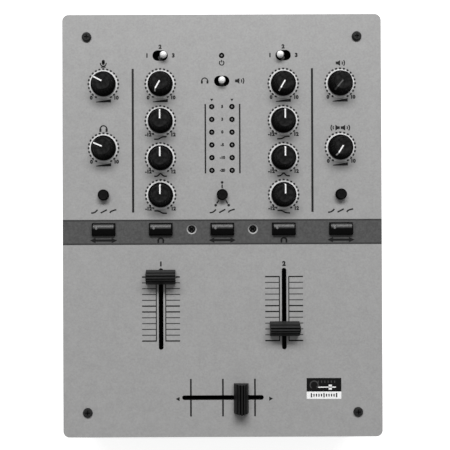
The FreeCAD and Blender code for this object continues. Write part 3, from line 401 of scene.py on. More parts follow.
# Near-black painted shade for the faces of the caps' grooves
CAP_GROOVE_SHADE = moulding("cap_groove_painted_shade", 6, 0.6, 0.03)
BUTTON = moulding("button_plastic", 5, 0.45, 0.05)
# Painted highlight: the buttons' rear facet is lighter than their plastic, besides being glossier
BUTTON_FACET_HIGHLIGHT = polished("button_facet_painted_highlight", 30, 0.36, 0.4)
WHITE = lever_plastic()
POINTER = ink("pointer_paint", 244)
DULL_POINTER = ink("dull_pointer_paint", 84)
INK = ink("panel_ink", 8)
FAINT_INK = ink("faint_panel_ink", 62)
BAND_INK = ink("band_ink", 6)
RING_INK = ink("ring_ink", 222)
SCREW = coat("screw_plating", 42, 0.36, 0.25, 0.01, 0.85)
PANEL_SCREW = screw_look()
STEEL = brushed("zinc_plating", 190, 0.32)
# A darker, rougher copy of the zinc plating for the fader frames; the darker colour is painted
# shade inside the fader slots
FRAME_STEEL_SHADE = brushed("frame_steel_painted_shade", 120, 0.42)
SOCKET = moulding("socket_plastic", 26, 0.45, 0.4)
RUBBER = coat("foot_rubber", 24, 0.8, 0.5, 0.06)
LENS = lens("light_lens", 110)
BUTTON_LENS = lens("button_lens_painted_shade", 115)
BOARD = coat("board_laminate", 40, 0.4, 0.4, 0.01)
LABEL_BLACK = ink("label_black", 10, 0.35)
LABEL_WHITE = ink("label_white", 246, 0.4)
LABEL_GREY = ink("label_grey", 70, 0.4)


# Mesh tools

def place(name, mesh, material, body, location=None, turn=0.0):
    """Put a mesh in the scene as a piece that rides on a body.

    The material is None where the mesh has its own already.
    """
    piece = bpy.data.objects.new(name, mesh)
    bpy.context.scene.collection.objects.link(piece)
    if location:
        piece.location = Vector(location) * MM
    piece.rotation_euler = (0, 0, turn)
    if not mesh.materials:
        mesh.materials.append(material)
    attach(piece, body)
    return piece


def solid(work, name):
    """Turn a bmesh in millimetres into a mesh in metres, smooth but for its sharp edges."""
    bmesh.ops.recalc_face_normals(work, faces=work.faces[:])
    for face in work.faces:
        face.smooth = True
    for edge in work.edges:
        if len(edge.link_faces) == 2 and edge.calc_face_angle() > SHARP_ANGLE:
            edge.smooth = False
    bmesh.ops.scale(work, vec=(MM, MM, MM), verts=work.verts[:])
    mesh = bpy.data.meshes.new(name)
    work.to_mesh(mesh)
    work.free()
    return mesh


def prism(work, points, low, high):
    """Add an upright prism over a flat outline."""
    floor = [work.verts.new((x, y, low)) for x, y in points]
    roof = [work.verts.new((x, y, high)) for x, y in points]
    work.faces.new(list(reversed(floor)))
    work.faces.new(roof)
    for i in range(len(points)):
        j = (i + 1) % len(points)
        work.faces.new((floor[i], floor[j], roof[j], roof[i]))


def revolve(work, profile, segments, inset=None):
    """Turn a closed profile of radius and height about Z.

    inset(angle, radius, height) says how far the wall is pulled in there.
    """
    rings = []
    for radius, height in profile:
        if radius == 0:
            rings.append([work.verts.new((0, 0, height))])
            continue
        ring = []
        for k in range(segments):
            angle = math.tau * k / segments
            wall = radius - (inset(angle, radius, height) if inset else 0.0)
            ring.append(work.verts.new((wall * math.sin(angle), wall * math.cos(angle), height)))
        rings.append(ring)
    for first, second in zip(rings, rings[1:] + rings[:1]):
        if len(first) == 1 and len(second) == 1:
            continue
        for k in range(segments):
            n = (k + 1) % segments
            if len(first) == 1:
                work.faces.new((first[0], second[k], second[n]))
            elif len(second) == 1:
                work.faces.new((first[k], second[0], first[n]))
            else:
                work.faces.new((first[k], second[k], second[n], first[n]))


def extrude_profile(work, profile, length, margin=0.0):
    """Draw an outline in Y and Z out along X and return its faces.

    With a margin, the sides are divided that far from each end.
    """
    stations = [-length / 2, length / 2]
    if margin:
        stations[1:1] = [margin - length / 2, length / 2 - margin]
    rings = [[work.verts.new((x, y, z)) for y, z in profile] for x in stations]
    faces = [work.faces.new(list(reversed(rings[0]))), work.faces.new(rings[-1])]
    for left, right in zip(rings, rings[1:]):
        for i in range(len(profile)):
            j = (i + 1) % len(profile)
            faces.append(work.faces.new((left[i], left[j], right[j], right[i])))
    return faces


def soften(work, faces, width, steps=3):
    """Round the sharp edges of some faces."""
    edges = set()
    for face in faces:
        for edge in face.edges:
            if len(edge.link_faces) == 2 and edge.calc_face_angle() > SOFT_ANGLE:
                edges.add(edge)
    bmesh.ops.bevel(
        work, geom=list(edges), offset=width, segments=steps, profile=0.5,
        affect="EDGES", clamp_overlap=True,
    )


# Print

class Print:
    """Flat marks gathered into one thin mesh on the panel."""

    def __init__(self, name, material, level=PANEL_TOP):
        self.name = name
        self.material = material
        self.low = level - PRINT_DEPTH
        self.high = level + PRINT_RISE
        self.work = bmesh.new()

    def area(self, points):
        prism(self.work, points, self.low, self.high)

    def bar(self, x, y, width, height, angle=0.0):
        """A rectangle turned clockwise by an angle in degrees."""
        turn = math.radians(angle)
        points = []
        for sx, sy in ((-1, -1), (1, -1), (1, 1), (-1, 1)):
            u, v = sx * width / 2, sy * height / 2
            points.append((x + u * math.cos(turn) + v * math.sin(turn),
                           y - u * math.sin(turn) + v * math.cos(turn)))
        self.area(points)

    def disc(self, x, y, radius, steps=20):
        turns = [math.tau * k / steps for k in range(steps)]
        self.area([(x + radius * math.cos(a), y + radius * math.sin(a)) for a in turns])

    def arc(self, x, y, radius, width, start, stop, steps=24):
        """Part of a ring, between two clockwise angles from the rear."""
        turns = [math.radians(start + (stop - start) * k / steps) for k in range(steps + 1)]
        outer = [(x + (radius + width / 2) * math.sin(a), y + (radius + width / 2) * math.cos(a))
                 for a in turns]
        inner = [(x + (radius - width / 2) * math.sin(a), y + (radius - width / 2) * math.cos(a))
                 for a in turns]
        self.area(inner + list(reversed(outer)))

    def line(self, points, width):
        """A line of one width through some points."""
        points = [Vector(p) for p in points]
        left, right = [], []
        for i, point in enumerate(points):
            before = points[max(i - 1, 0)]
            after = points[min(i + 1, len(points) - 1)]
            along = (after - before).normalized()
            side = Vector((-along.y, along.x)) * (width / 2)
            left.append(tuple(point + side))
            right.append(tuple(point - side))
        self.area(right + list(reversed(left)))

    def digits(self, text, x, y, height):
        """Plain numbers of a height, centred on a point."""
        curve = bpy.data.curves.new("digits", "FONT")
        curve.body = text
        curve.align_x = "CENTER"
        curve.align_y = "CENTER"
        curve.size = height * 1.42
        curve.offset = height * 0.1
        curve.extrude = (self.high - self.low) / 2
        holder = bpy.data.objects.new("digits", curve)
        mesh = bpy.data.meshes.new_from_object(holder)
        mesh.transform(Matrix.Translation((x, y, (self.low + self.high) / 2)))
        self.work.from_mesh(mesh)
        bpy.data.meshes.remove(mesh)
        bpy.data.objects.remove(holder)
        bpy.data.curves.remove(curve)

    def done(self):
        mesh = solid(self.work, self.name)
        return place(self.name, mesh, self.material, "chassis")


def curve_points(function, low, high, steps=16):
    spread = [low + (high - low) * k / steps for k in range(steps + 1)]
    return [(u, function(u)) for u in spread]


def moved(points, x, y):
    return [(x + u, y + v) for u, v in points]


def wedge_mark(marks, x, y):
    """A wedge that grows to the right."""
    marks.area(moved([(-6, -1.2), (6, -1.2), (6, 1.4), (-6, -0.6)], x, y))


def mic_mark(marks, x, y):
    """A microphone in outline."""
    marks.bar(x, y + 1.1, 2.4, 1.8)
    marks.disc(x, y + 2.0, 1.2)
    marks.disc(x, y + 0.2, 1.2)
    marks.arc(x, y + 0.3, 2.3, 0.9, 80, 280)
    marks.bar(x, y - 2.1, 1.0, 1.0)
    marks.bar(x, y - 2.7, 3.8, 0.9)


def phones_mark(marks, x, y, size=1.0, weight=1.0):
    """A pair of headphones."""
    marks.arc(x, y - 0.4 * size, 2.6 * size, weight * size, -95, 95)
    for side in (-1, 1):
        marks.bar(x + 2.5 * size * side, y - 1.4 * size, 1.7 * size, 2.6 * size)


def speaker_mark(marks, x, y, side=1):
    """A loudspeaker with two sound waves."""
    body = [(-3.4, -1.1), (-1.9, -1.1), (0.1, -2.3), (0.1, 2.3), (-1.9, 1.1), (-3.4, 1.1)]
    body = moved([(u * side, v) for u, v in body], x, y)
    marks.area(body if side > 0 else list(reversed(body)))
    for radius in (1.9, 3.6):
        middle = 90 * side
        marks.arc(x, y, radius, 0.9, middle - 38, middle + 38)


def booth_mark(marks, x, y):
    """Two loudspeakers that face outwards."""
    speaker_mark(marks, x + 3.8, y, 1)
    speaker_mark(marks, x - 3.8, y, -1)


def power_mark(marks, x, y):
    """The common power symbol."""
    marks.arc(x, y, 1.8, 0.85, 34, 326)
    marks.bar(x, y + 1.4, 0.85, 2.0)


def tone_mark(marks, x, y, band):
    """A tone curve: a rise to the right, a hump, or a rise to the left."""
    if band == "mid":
        shape = curve_points(lambda u: 2.2 * math.exp(-((u / 1.7) ** 2)) - 1.0, -5.0, 5.0)
    else:
        side = 1 if band == "high" else -1
        shape = curve_points(lambda u: math.tanh(u * side / 1.5), -5.0, 5.0)
    marks.line(moved(shape, x, y), 1.15)


def fader_curve_mark(marks, x, y):
    """Three response curves, from slow to sharp."""
    for offset, power in ((-7.5, 2.6), (0.0, 1.0), (7.5, 0.4)):
        shape = curve_points(lambda u: 2.6 * (u / 5.0) ** power - 1.3, 0.0, 5.0)
        marks.line(moved(shape, x + offset - 2.5, y), 1.15)


def reverse_mark(marks, x, y):
    """An arrow that points both ways."""
    marks.bar(x, y, 13.0, 1.8)
    for side in (-1, 1):
        tip = [(6.4, -2.1), (10.8, 0.0), (6.4, 2.1)]
        tip = [(x + u * side, y + v) for u, v in tip]
        marks.area(tip if side > 0 else list(reversed(tip)))


DASH_RADIUS = 11.9
DASH_WIDTH = 1.7
DASH_LENGTH = 1.45
DASH_STEP = 15
RING_RADIUS = 10.75
RING_WIDTH = 1.4
DIAL_NUMBER_LEFT = 9.7
DIAL_NUMBER_RIGHT = 10.1
DIAL_NUMBER_DROP = 11.0
DIAL_NUMBER_HEIGHT = 2.7
WEDGE_DROP = 13.4
TONE_DROP = 13.6
REAR_LEVEL_MARKS = 129.2
FRONT_LEVEL_MARKS = 77.6


def print_dials(dark, rings):
    """Rings round the large knobs, with numbers at their ends and a mark for what each one sets."""
    for name, x, y in large_knobs():
        for angle in range(-DIAL_END, DIAL_END + 1, DASH_STEP):
            turn = math.radians(angle)
            dash_x = x + DASH_RADIUS * math.sin(turn)
            dash_y = y + DASH_RADIUS * math.cos(turn)
            dark.bar(dash_x, dash_y, DASH_WIDTH, DASH_LENGTH, angle)
        for start in (-180, 0):
            rings.arc(x, y, RING_RADIUS, RING_WIDTH, start, start + 180, 40)
        is_level = "level" in name or "gain" in name
        low, high = ("0", "10") if is_level else ("-12", "12")
        dark.digits(low, x - DIAL_NUMBER_LEFT, y - DIAL_NUMBER_DROP, DIAL_NUMBER_HEIGHT)
        dark.digits(high, x + DIAL_NUMBER_RIGHT, y - DIAL_NUMBER_DROP, DIAL_NUMBER_HEIGHT)
        if is_level:
            wedge_mark(dark, x, y - WEDGE_DROP)
        else:
            tone_mark(dark, x, y - TONE_DROP, name.split("_")[1])
    mic_mark(dark, -LEVEL_COLUMN, REAR_LEVEL_MARKS)
    phones_mark(dark, -LEVEL_COLUMN, FRONT_LEVEL_MARKS)
    speaker_mark(dark, LEVEL_COLUMN, REAR_LEVEL_MARKS)
    booth_mark(dark, LEVEL_COLUMN, FRONT_LEVEL_MARKS)


CURVE_ROW = 24.5
CURVE_MARKS = 11.6
CURVE_DIAL_END = 148
CURVE_TICK_RADIUS = 6.7
CURVE_DOT_RADIUS = 9.8


def print_curve_dials(dark):
    """Response curves under the small knobs, and a dial round the middle one."""
    for x in (-LEVEL_COLUMN, 0.0, LEVEL_COLUMN):
        fader_curve_mark(dark, x, CURVE_MARKS)
    for angle in (-CURVE_DIAL_END, 0, CURVE_DIAL_END):
        turn = math.radians(angle)
        along_x, along_y = math.sin(turn), math.cos(turn)
        tick_y = CURVE_ROW + CURVE_TICK_RADIUS * along_y
        dark.bar(CURVE_TICK_RADIUS * along_x, tick_y, 1.1, 3.0, angle)
        dark.disc(CURVE_DOT_RADIUS * along_x, CURVE_ROW + CURVE_DOT_RADIUS * along_y, 1.1)


DIVIDER_COLUMN = 71.4
DIVIDER_ROW = 67.85
METER_LINE_COLUMN = 13.7
METER_LINE_ROW = 69.2
LINE_SHIFT = 0.5
METER_COLUMN = 8.05
METER_FIRST_ROW = 94.7
METER_PITCH = 10.16
METER_NUMBERS = ("5", "3", "0", "-5", "-10", "-20")


def print_meter(dark):
    """Lines between the columns and beside the meter, and the meter's arrows and numbers."""
    for side in (-1, 1):
        dark.bar(DIVIDER_COLUMN * side + LINE_SHIFT, DIVIDER_ROW, 1.7, 114.5)
        dark.bar(METER_LINE_COLUMN * side + LINE_SHIFT, METER_LINE_ROW, 1.2, 55.4)
        column = METER_COLUMN * side
        dark.area([(column - 1.3, 101.0), (column, 99.0), (column + 1.3, 101.0)])
    for step, number in enumerate(METER_NUMBERS):
        dark.digits(number, 0.3, METER_FIRST_ROW - METER_PITCH * step, 2.2)


TOGGLE_NUMBER_STEP = 10.5
TOGGLE_SIDE_ROW = 135.5
TOGGLE_REAR_ROW = 142.4
TOGGLE_NUMBER_HEIGHT = 3.0


def print_toggles(dark):
    """Numbers and pictograms round the three levers, and the mark of the power light."""
    for x in (-CHANNEL_COLUMN, CHANNEL_COLUMN):
        dark.digits("1", x - TOGGLE_NUMBER_STEP, TOGGLE_SIDE_ROW, TOGGLE_NUMBER_HEIGHT)
        dark.digits("2", x, TOGGLE_REAR_ROW, TOGGLE_NUMBER_HEIGHT)
        dark.digits("3", x + TOGGLE_NUMBER_STEP, TOGGLE_SIDE_ROW, TOGGLE_NUMBER_HEIGHT)
    phones_mark(dark, -13.6, 115.6, 0.9)
    speaker_mark(dark, 14.0, 115.2)
    power_mark(dark, 0.0, 129.6)


FADER_NUMBER_ROW = -30.6
FADER_NUMBER_HEIGHT = 3.4
FADER_RAIL_OFFSET = 3.75
FADER_RAIL_WIDTH = 0.8
FADER_RAIL_EXCESS = 0.9
FADER_FIRST_TICK = -40.8
FADER_TICK_PITCH = 4.63
FADER_TICKS = 12
FADER_BOLD_TICKS = (0, 5, 6, 11)
FADER_TICK_OFFSET = 9.6
FADER_TICK_LENGTH = 11.0
FADER_BOLD_WIDTH = 1.05
FADER_FINE_WIDTH = 0.8


def print_fader_scales(dark, faint):
    """A number over each channel fader, and ticks down both sides of its slot."""
    length = FADER_TICK_PITCH * (FADER_TICKS - 1)
    rail_row = FADER_FIRST_TICK - length / 2
    for number, x in (("1", -CHANNEL_COLUMN), ("2", CHANNEL_COLUMN)):
        dark.digits(number, x, FADER_NUMBER_ROW, FADER_NUMBER_HEIGHT)
        for side in (-1, 1):
            rail_x = x + FADER_RAIL_OFFSET * side
            dark.bar(rail_x, rail_row, FADER_RAIL_WIDTH, length + FADER_RAIL_EXCESS)
            for step in range(FADER_TICKS):
                tick_x = x + FADER_TICK_OFFSET * side
                row = FADER_FIRST_TICK - FADER_TICK_PITCH * step
                if step in FADER_BOLD_TICKS:
                    dark.bar(tick_x, row, FADER_TICK_LENGTH, FADER_BOLD_WIDTH)
                else:
                    faint.bar(tick_x, row, FADER_TICK_LENGTH, FADER_FINE_WIDTH)


CROSSFADER_ROW = -136.9
CROSSFADER_TICK_COLUMN = 25.5
CROSSFADER_TICK_OFFSET = 8.4


def print_crossfader_scale(dark):
    """Ticks on both sides of the crossfader's slot, and an arrow at each end."""
    for x in (-CROSSFADER_TICK_COLUMN, 0.0, CROSSFADER_TICK_COLUMN):
        for side in (-1, 1):
            dark.bar(x, CROSSFADER_ROW + CROSSFADER_TICK_OFFSET * side, 1.3, 13.1)
    dark.area([(-34.5, -139.6), (-34.5, -136.2), (-37.5, -137.9)])
    dark.area([(36.8, -136.2), (36.8, -139.6), (39.8, -137.9)])


BAND_MARKS = -11.6
REVERSE_COLUMN = 94.5


def print_band(band):
    """A pictogram in front of each button."""
    for x in (-REVERSE_COLUMN, 0.0, REVERSE_COLUMN):
        reverse_mark(band, x, BAND_MARKS)
    for x in (-CHANNEL_COLUMN, CHANNEL_COLUMN):
        phones_mark(band, x, BAND_MARKS, 0.8, 1.7)


def print_panel():
    """All the marks on the panel, in four inks."""
    dark = Print("panel_marks", INK)
    faint = Print("panel_fine_marks", FAINT_INK)
    rings = Print("knob_rings", RING_INK)
    band = Print("band_marks", BAND_INK)
    print_dials(dark, rings)
    print_curve_dials(dark)
    print_meter(dark)
    print_toggles(dark)
    print_fader_scales(dark, faint)
    print_crossfader_scale(dark)
    print_band(band)
    for marks in (rings, faint, dark, band):
        marks.done()


LABEL_SIDES = (66.6, 94.2)
LABEL_REAR = -121.6
LABEL_FRONT = -138.2
LABEL_SPLIT = -132.4
LABEL_FADER_ROW = -128.9
LABEL_RISE = 0.08


def label():
    """A plain two-tone sticker with a drawing of a fader."""
    left, right = LABEL_SIDES
    middle = (left + right) / 2
    top, bottom, split = LABEL_REAR, LABEL_FRONT, LABEL_SPLIT
    field_level = PANEL_TOP + LABEL_RISE
    drawing_level = field_level + PRINT_RISE
    card = Print("label_card", LABEL_WHITE)
    card.high = field_level
    card.area([(left, bottom), (right, bottom), (right, top), (left, top)])
    card.done()
    field = Print("label_field", LABEL_BLACK, field_level)
    field.area([(left, split), (right, split), (right, top), (left, top)])
    for k in range(11):
        tall = 3.4 if k % 5 == 0 else 2.2
        field.bar(middle + (k - 5) * 2.0, (split + bottom) / 2, 1.0, tall)
    field.done()
    drawing = Print("label_drawing", LABEL_WHITE, drawing_level)
    drawing.bar(middle + 2.0, LABEL_FADER_ROW, 15.0, 0.8)
    drawing.bar(middle + 5.0, LABEL_FADER_ROW, 2.6, 4.0)
    drawing.done()
    shade = Print("label_shade", LABEL_GREY, drawing_level)
    shade.arc(left + 6.0, -127.2, 3.2, 0.8, -140, 140)
    for k in range(6):
        shade.bar(middle - 4.5 + k * 2.6, -124.6, 0.7, 1.8)
    shade.done()


# Controls

def large_knobs():
    """Name and place of each large knob, from the joints."""
    found = []
    for name in joints:
        stem = name.removesuffix("_turn")
        if f"{stem}_shaft" in nodes:
            x, y, _ = joints[name]["pos_m"]
            found.append((stem, x / MM, y / MM))
    return found


def rest_angle(stem):
    """Clockwise angle of a large knob's pointer from the rear, in degrees."""
    return -DIAL_END - joints[f"{stem}_turn"]["range_deg"][0]


FLUTES = 24
FLUTE_DEPTH = 0.4
GRIP_LOW = 4.2
GRIP_HIGH = KNOB_TOP - 1.1
GRIP_INNER = 6.5
SHAFT_BORE = 3.02


def flute(angle, radius, height):
    """How far the grip's grooves cut in; the ridge under the pointer is kept."""
    if not GRIP_LOW <= height <= GRIP_HIGH or radius < GRIP_INNER:
        return 0.0
    ends = min(height - GRIP_LOW, GRIP_HIGH - height) / 0.9
    wave = (1 - math.cos(angle * FLUTES)) / 2
    return FLUTE_DEPTH * wave ** 1.5 * min(1.0, ends)


# Radius and drop below the knob's top, from the middle of the dished crown to the head of the grip
CROWN = [
    (0.0, 0.25), (2.5, 0.24), (5.0, 0.2), (5.9, 0.14), (6.25, 0.06), (6.55, 0.06), (6.85, 0.17),
    (7.05, 0.4), (7.16, 0.75), (7.2, 1.1), (7.27, 1.5), (7.32, 2.0),
]


def knob_mesh():
    """A skirted knob with a fluted, tapering grip and a slightly dished crown, the crown coloured
    lighter than the rest as painted light.
    """
    profile = [
        (SHAFT_BORE, 4.1), (7.3, 4.1), (7.3, 0.8), (9.75, 0.8), (9.92, 0.95), (9.95, 1.15),
        (9.95, 2.1), (9.9, 2.3), (9.75, 2.45), (9.1, 2.9), (8.75, 3.3), (8.55, 3.75),
        (8.47, GRIP_LOW), (8.43, 4.6), (8.38, 5.1),
    ]
    foot_radius, foot = profile[-1]
    head_radius, drop = CROWN[-1]
    head = KNOB_TOP - drop
    for step in range(1, 10):
        share = step / 10
        radius = foot_radius + (head_radius - foot_radius) * share
        profile.append((radius, foot + (head - foot) * share))
    profile += [(radius, KNOB_TOP - drop) for radius, drop in reversed(CROWN)]
    profile += [(0, SHAFT_TOP), (SHAFT_BORE, SHAFT_TOP)]
    work = bmesh.new()
    revolve(work, profile, FLUTES * 8, flute)
    # The crown's faces get the lighter copy as painted light, all others the darker copy as painted
    # shade
    for face in work.faces:
        is_lit_crown = min(vert.co.z for vert in face.verts) > KNOB_TOP - 0.6
        face.material_index = int(is_lit_crown)
    mesh = solid(work, "knob")
    mesh.materials.append(KNOB_SHADED_SIDE)
    mesh.materials.append(KNOB_LIT_CROWN)
    return mesh


POINTER_WIDTH = 1.08
POINTER_LIFT = 0.05
POINTER_SINK = 0.12


def pointer_mesh():
    """The pointer: a white line from the middle of the crown, over its edge and down the grip."""
    path = [(radius, KNOB_TOP - drop) for radius, drop in CROWN]
    path += [(7.6, KNOB_TOP - 4.0), (7.9, KNOB_TOP - 6.2), (8.15, KNOB_TOP - 8.0)]
    half = POINTER_WIDTH / 2
    work = bmesh.new()
    rows = []
    for i, (radius, height) in enumerate(path):
        before = Vector(path[max(i - 1, 0)])
        after = Vector(path[min(i + 1, len(path) - 1)])
        along = (after - before).normalized()
        out = Vector((-along.y, along.x))
        upper = Vector((radius, height)) + out * POINTER_LIFT
        lower = Vector((radius, height)) - out * POINTER_SINK
        row = [work.verts.new((x, p.x, p.y)) for p in (upper, lower) for x in (-half, half)]
        rows.append(row)
    for first, second in zip(rows, rows[1:]):
        for a, b in ((0, 1), (1, 3), (3, 2), (2, 0)):
            work.faces.new((first[a], first[b], second[b], second[a]))
    for row in (rows[0], rows[-1]):
        work.faces.new((row[0], row[1], row[3], row[2]))
    return solid(work, "pointer")


def dress_knobs():
    """Replace each large knob by the fluted one, and lay its pointer."""
    knob, pointer, dull = knob_mesh(), pointer_mesh(), pointer_mesh()
    for stem, x, y in large_knobs():
        body = f"{stem}_control"
        turn = -math.radians(rest_angle(stem))
        spot = (x, y, PANEL_TOP)
        piece = place(f"{stem}_grip", knob, None, body, spot, turn)
        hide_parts(f"{stem}_knob")
        if stem == "master_level":
            place(f"{stem}_pointer", dull, DULL_POINTER, body, spot, turn)
        else:
            place(f"{stem}_pointer", pointer, POINTER, body, spot, turn)


CURVE_RADIUS = 4.4
CURVE_FLUTES = 18
CURVE_FLUTE_DEPTH = 0.22
CURVE_GRIP_LOW = 1.4
CURVE_GRIP_HIGH = CURVE_TOP - 0.8
CURVE_STEM_RADIUS = 2.0
CURVE_STEM_END = -14.0


def curve_flute(angle, radius, height):
    """Grooves on the small knobs."""
    if not CURVE_GRIP_LOW <= height <= CURVE_GRIP_HIGH or radius < 3.5:
        return 0.0
    ends = min(height - CURVE_GRIP_LOW, CURVE_GRIP_HIGH - height) / 0.6
    wave = (1 - math.cos(angle * CURVE_FLUTES)) / 2
    return CURVE_FLUTE_DEPTH * wave ** 1.5 * min(1.0, ends)


def dress_curve_knobs():
    """Replace the small knobs by fluted ones with a raised line on top, the top's middle coloured
    lighter as painted light and the rest near-black as painted shade.
    """
    profile = [
        (CURVE_STEM_RADIUS, CURVE_STEM_END), (CURVE_STEM_RADIUS, 0.6), (4.2, 0.6), (4.36, 0.75),
        (CURVE_RADIUS, 1.0), (CURVE_RADIUS, CURVE_GRIP_LOW), (CURVE_RADIUS, 2.1),
    ]
    profile += [(CURVE_RADIUS, 2.1 + (CURVE_TOP - 3.6) * step / 5) for step in range(1, 6)]
    crown = [
        (CURVE_RADIUS, 0.8), (4.32, 0.5), (4.12, 0.2), (3.85, 0.07), (3.5, 0.1), (2.0, 0.16),
        (0, 0.18),
    ]
    profile += [(radius, CURVE_TOP - drop) for radius, drop in crown]
    profile += [(0, CURVE_STEM_END)]
    work = bmesh.new()
    revolve(work, profile, CURVE_FLUTES * 8, curve_flute)
    low, high = CURVE_TOP - 0.3, CURVE_TOP - 0.05
    ridge = extrude_profile(work, [(0.0, low), (3.9, low), (3.9, high), (0.0, high)], 0.9)
    soften(work, ridge, 0.1, 2)
    # Faces on top near the middle get the lighter copy as painted light; the rest get the
    # near-black copy as painted shade
    for face in work.faces:
        middle = face.calc_center_median()
        face.material_index = int(middle.z > CURVE_TOP - 0.25 and middle.xy.length < 3.0)
    mesh = solid(work, "curve_knob")
    mesh.materials.append(KNOB_RIM_SHADED)
    mesh.materials.append(CURVE_DISH_LIT)
    for name, joint in joints.items():
        stem = name.removesuffix("_turn")
        if not stem.endswith("_curve"):
            continue
        x, y, _ = joint["pos_m"]
        spot = (x / MM, y / MM, PANEL_TOP)
        piece = place(f"{stem}_grip", mesh, None, f"{stem}_control", spot)
        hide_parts(f"{stem}_knob")


KEY_WIDTH = 18.3
KEY_FLOOR = -2.3
FACET_MARGIN = 1.05
FLANGE_LIP = 1.2
FLANGE_THICKNESS = 1.2
FLANGE_HALF_WIDTH = 10.35
KEY_STEM_RADIUS = 1.7
KEY_STEM_END = -11.4
KEY_LIGHT_RADIUS = 0.95
KEY_LIGHT_PLACE = (-5.5, 0.7)
ROUND_STEPS = 24


def key_mesh():
    """A push button on a flange and a stem, with a polished facet along its rear edge that is
    coloured lighter as a painted highlight on top of its real gloss.
    """
    low, top = KEY_FLOOR, BUTTON_TOP
    near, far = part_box("ch1_cue_button")
    depth = (far.y - near.y) / MM / 2
    half = depth - FLANGE_LIP
    profile = [
        (-half, low), (half, low), (half, top - 1.8), (half - 0.8, top - 1.15),
        (half - 2.3, top - 0.42), (half - 3.5, top - 0.1), (half - 4.4, top), (0.8 - half, top),
        (-half, top - 0.8),
    ]
    work = bmesh.new()
    soften(work, extrude_profile(work, profile, KEY_WIDTH, FACET_MARGIN), 0.2, 3)
    facet_end = KEY_WIDTH / 2 - FACET_MARGIN
    # Faces tilted towards the rear, where the lamps stand, get the lighter facet colour: a painted
    # highlight
    for face in work.faces:
        face.normal_update()
        is_lit_facet = 0.04 < face.normal.y < 0.5 and face.normal.z > 0.8
        face.material_index = int(is_lit_facet and abs(face.calc_center_median().x) < facet_end)
    side = FLANGE_HALF_WIDTH
    prism(work, [(-side, -depth), (side, -depth), (side, depth), (-side, depth)],
          low - FLANGE_THICKNESS, low)
    turns = [math.tau * k / ROUND_STEPS for k in range(ROUND_STEPS)]
    stem = [(KEY_STEM_RADIUS * math.cos(turn), KEY_STEM_RADIUS * math.sin(turn)) for turn in turns]
    prism(work, stem, KEY_STEM_END, low - FLANGE_THICKNESS)
    mesh = solid(work, "button_key")
    mesh.materials.append(BUTTON)
    mesh.materials.append(BUTTON_FACET_HIGHLIGHT)
    return mesh


def key_light_mesh():
    """The small dome of a button's light."""
    work = bmesh.new()
    dome = [(0, -0.3), (KEY_LIGHT_RADIUS, -0.3), (KEY_LIGHT_RADIUS, 0.05), (0.8, 0.12), (0, 0.15)]
    revolve(work, [(radius, BUTTON_TOP + rise) for radius, rise in dome], ROUND_STEPS)
    return solid(work, "button_light")


def dress_buttons():
    """Replace the push buttons by softened ones with a small light in each."""
    key, light = key_mesh(), key_light_mesh()
    for name in joints:
        stem = name.removesuffix("_press")
        if stem == name:
            continue
        low_corner, high_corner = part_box(f"{stem}_button")
        x = (low_corner.x + high_corner.x) / 2 / MM
        y = (low_corner.y + high_corner.y) / 2 / MM
        spot = (x, y, PANEL_TOP)
        piece = place(f"{stem}_keytop", key, None, f"{stem}_key", spot)
        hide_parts(f"{stem}_button")
        spot = (x + KEY_LIGHT_PLACE[0], y + KEY_LIGHT_PLACE[1], PANEL_TOP)
        place(f"{stem}_light", light, BUTTON_LENS, f"{stem}_key", spot)


CAP_LENGTH = 23.3
CAP_RIB = 0.7
CAP_GROOVE_EDGE = 1.6
CAP_GROOVE_DEPTH = 2.0
CAP_ROUNDING = 0.16


def dress_caps():
    """Replace the fader caps by softened ones with a rib between two grooves; the groove faces get
    near-black as painted shade, and the crossfader's cap gets a darker copy of the cap plastic as
    painted shade.
    """
    low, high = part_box("ch1_fader_cap")
    base = (high.y - low.y) / MM / 2
    shoulder = base - 2.0
    crest = CAP_TOP - 0.8
    groove = crest - CAP_GROOVE_DEPTH
    half = [
        (base, 1.8), (base, 3.4), (shoulder, 9.6), (shoulder - 0.55, 9.0), (shoulder - 0.65, 9.8),
        (1.9, crest), (CAP_GROOVE_EDGE, crest), (1.5, groove), (CAP_RIB, groove),
        (CAP_RIB, CAP_TOP),
    ]
    profile = half + [(-y, z) for y, z in reversed(half)]
    work = bmesh.new()
    soften(work, extrude_profile(work, profile, CAP_LENGTH), CAP_ROUNDING, 2)
    # Faces beside the rib and below the crest get the near-black copy as painted shade in the
    # grooves
    for face in work.faces:
        middle = face.calc_center_median()
        beside_rib = CAP_RIB - 0.05 < abs(middle.y) < CAP_GROOVE_EDGE + 0.05
        face.material_index = int(beside_rib and middle.z < crest)
    channel_cap = solid(work, "fader_cap")
    cross_cap = channel_cap.copy()
    for mesh, look in ((channel_cap, CAP), (cross_cap, CROSS_CAP_SHADED)):
        mesh.materials.append(look)
        mesh.materials.append(CAP_GROOVE_SHADE)
    for stem in ("ch1_fader", "ch2_fader", "crossfader"):
        low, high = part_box(f"{stem}_cap")
        middle = (low + high) / 2 / MM
        crosswise = stem == "crossfader"
        mesh = cross_cap if crosswise else channel_cap
        turn = math.pi / 2 if crosswise else 0.0
        spot = (middle.x, middle.y, PANEL_TOP)
        piece = place(f"{stem}_grip", mesh, None, f"{stem}_slider", spot, turn)
        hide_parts(f"{stem}_cap")


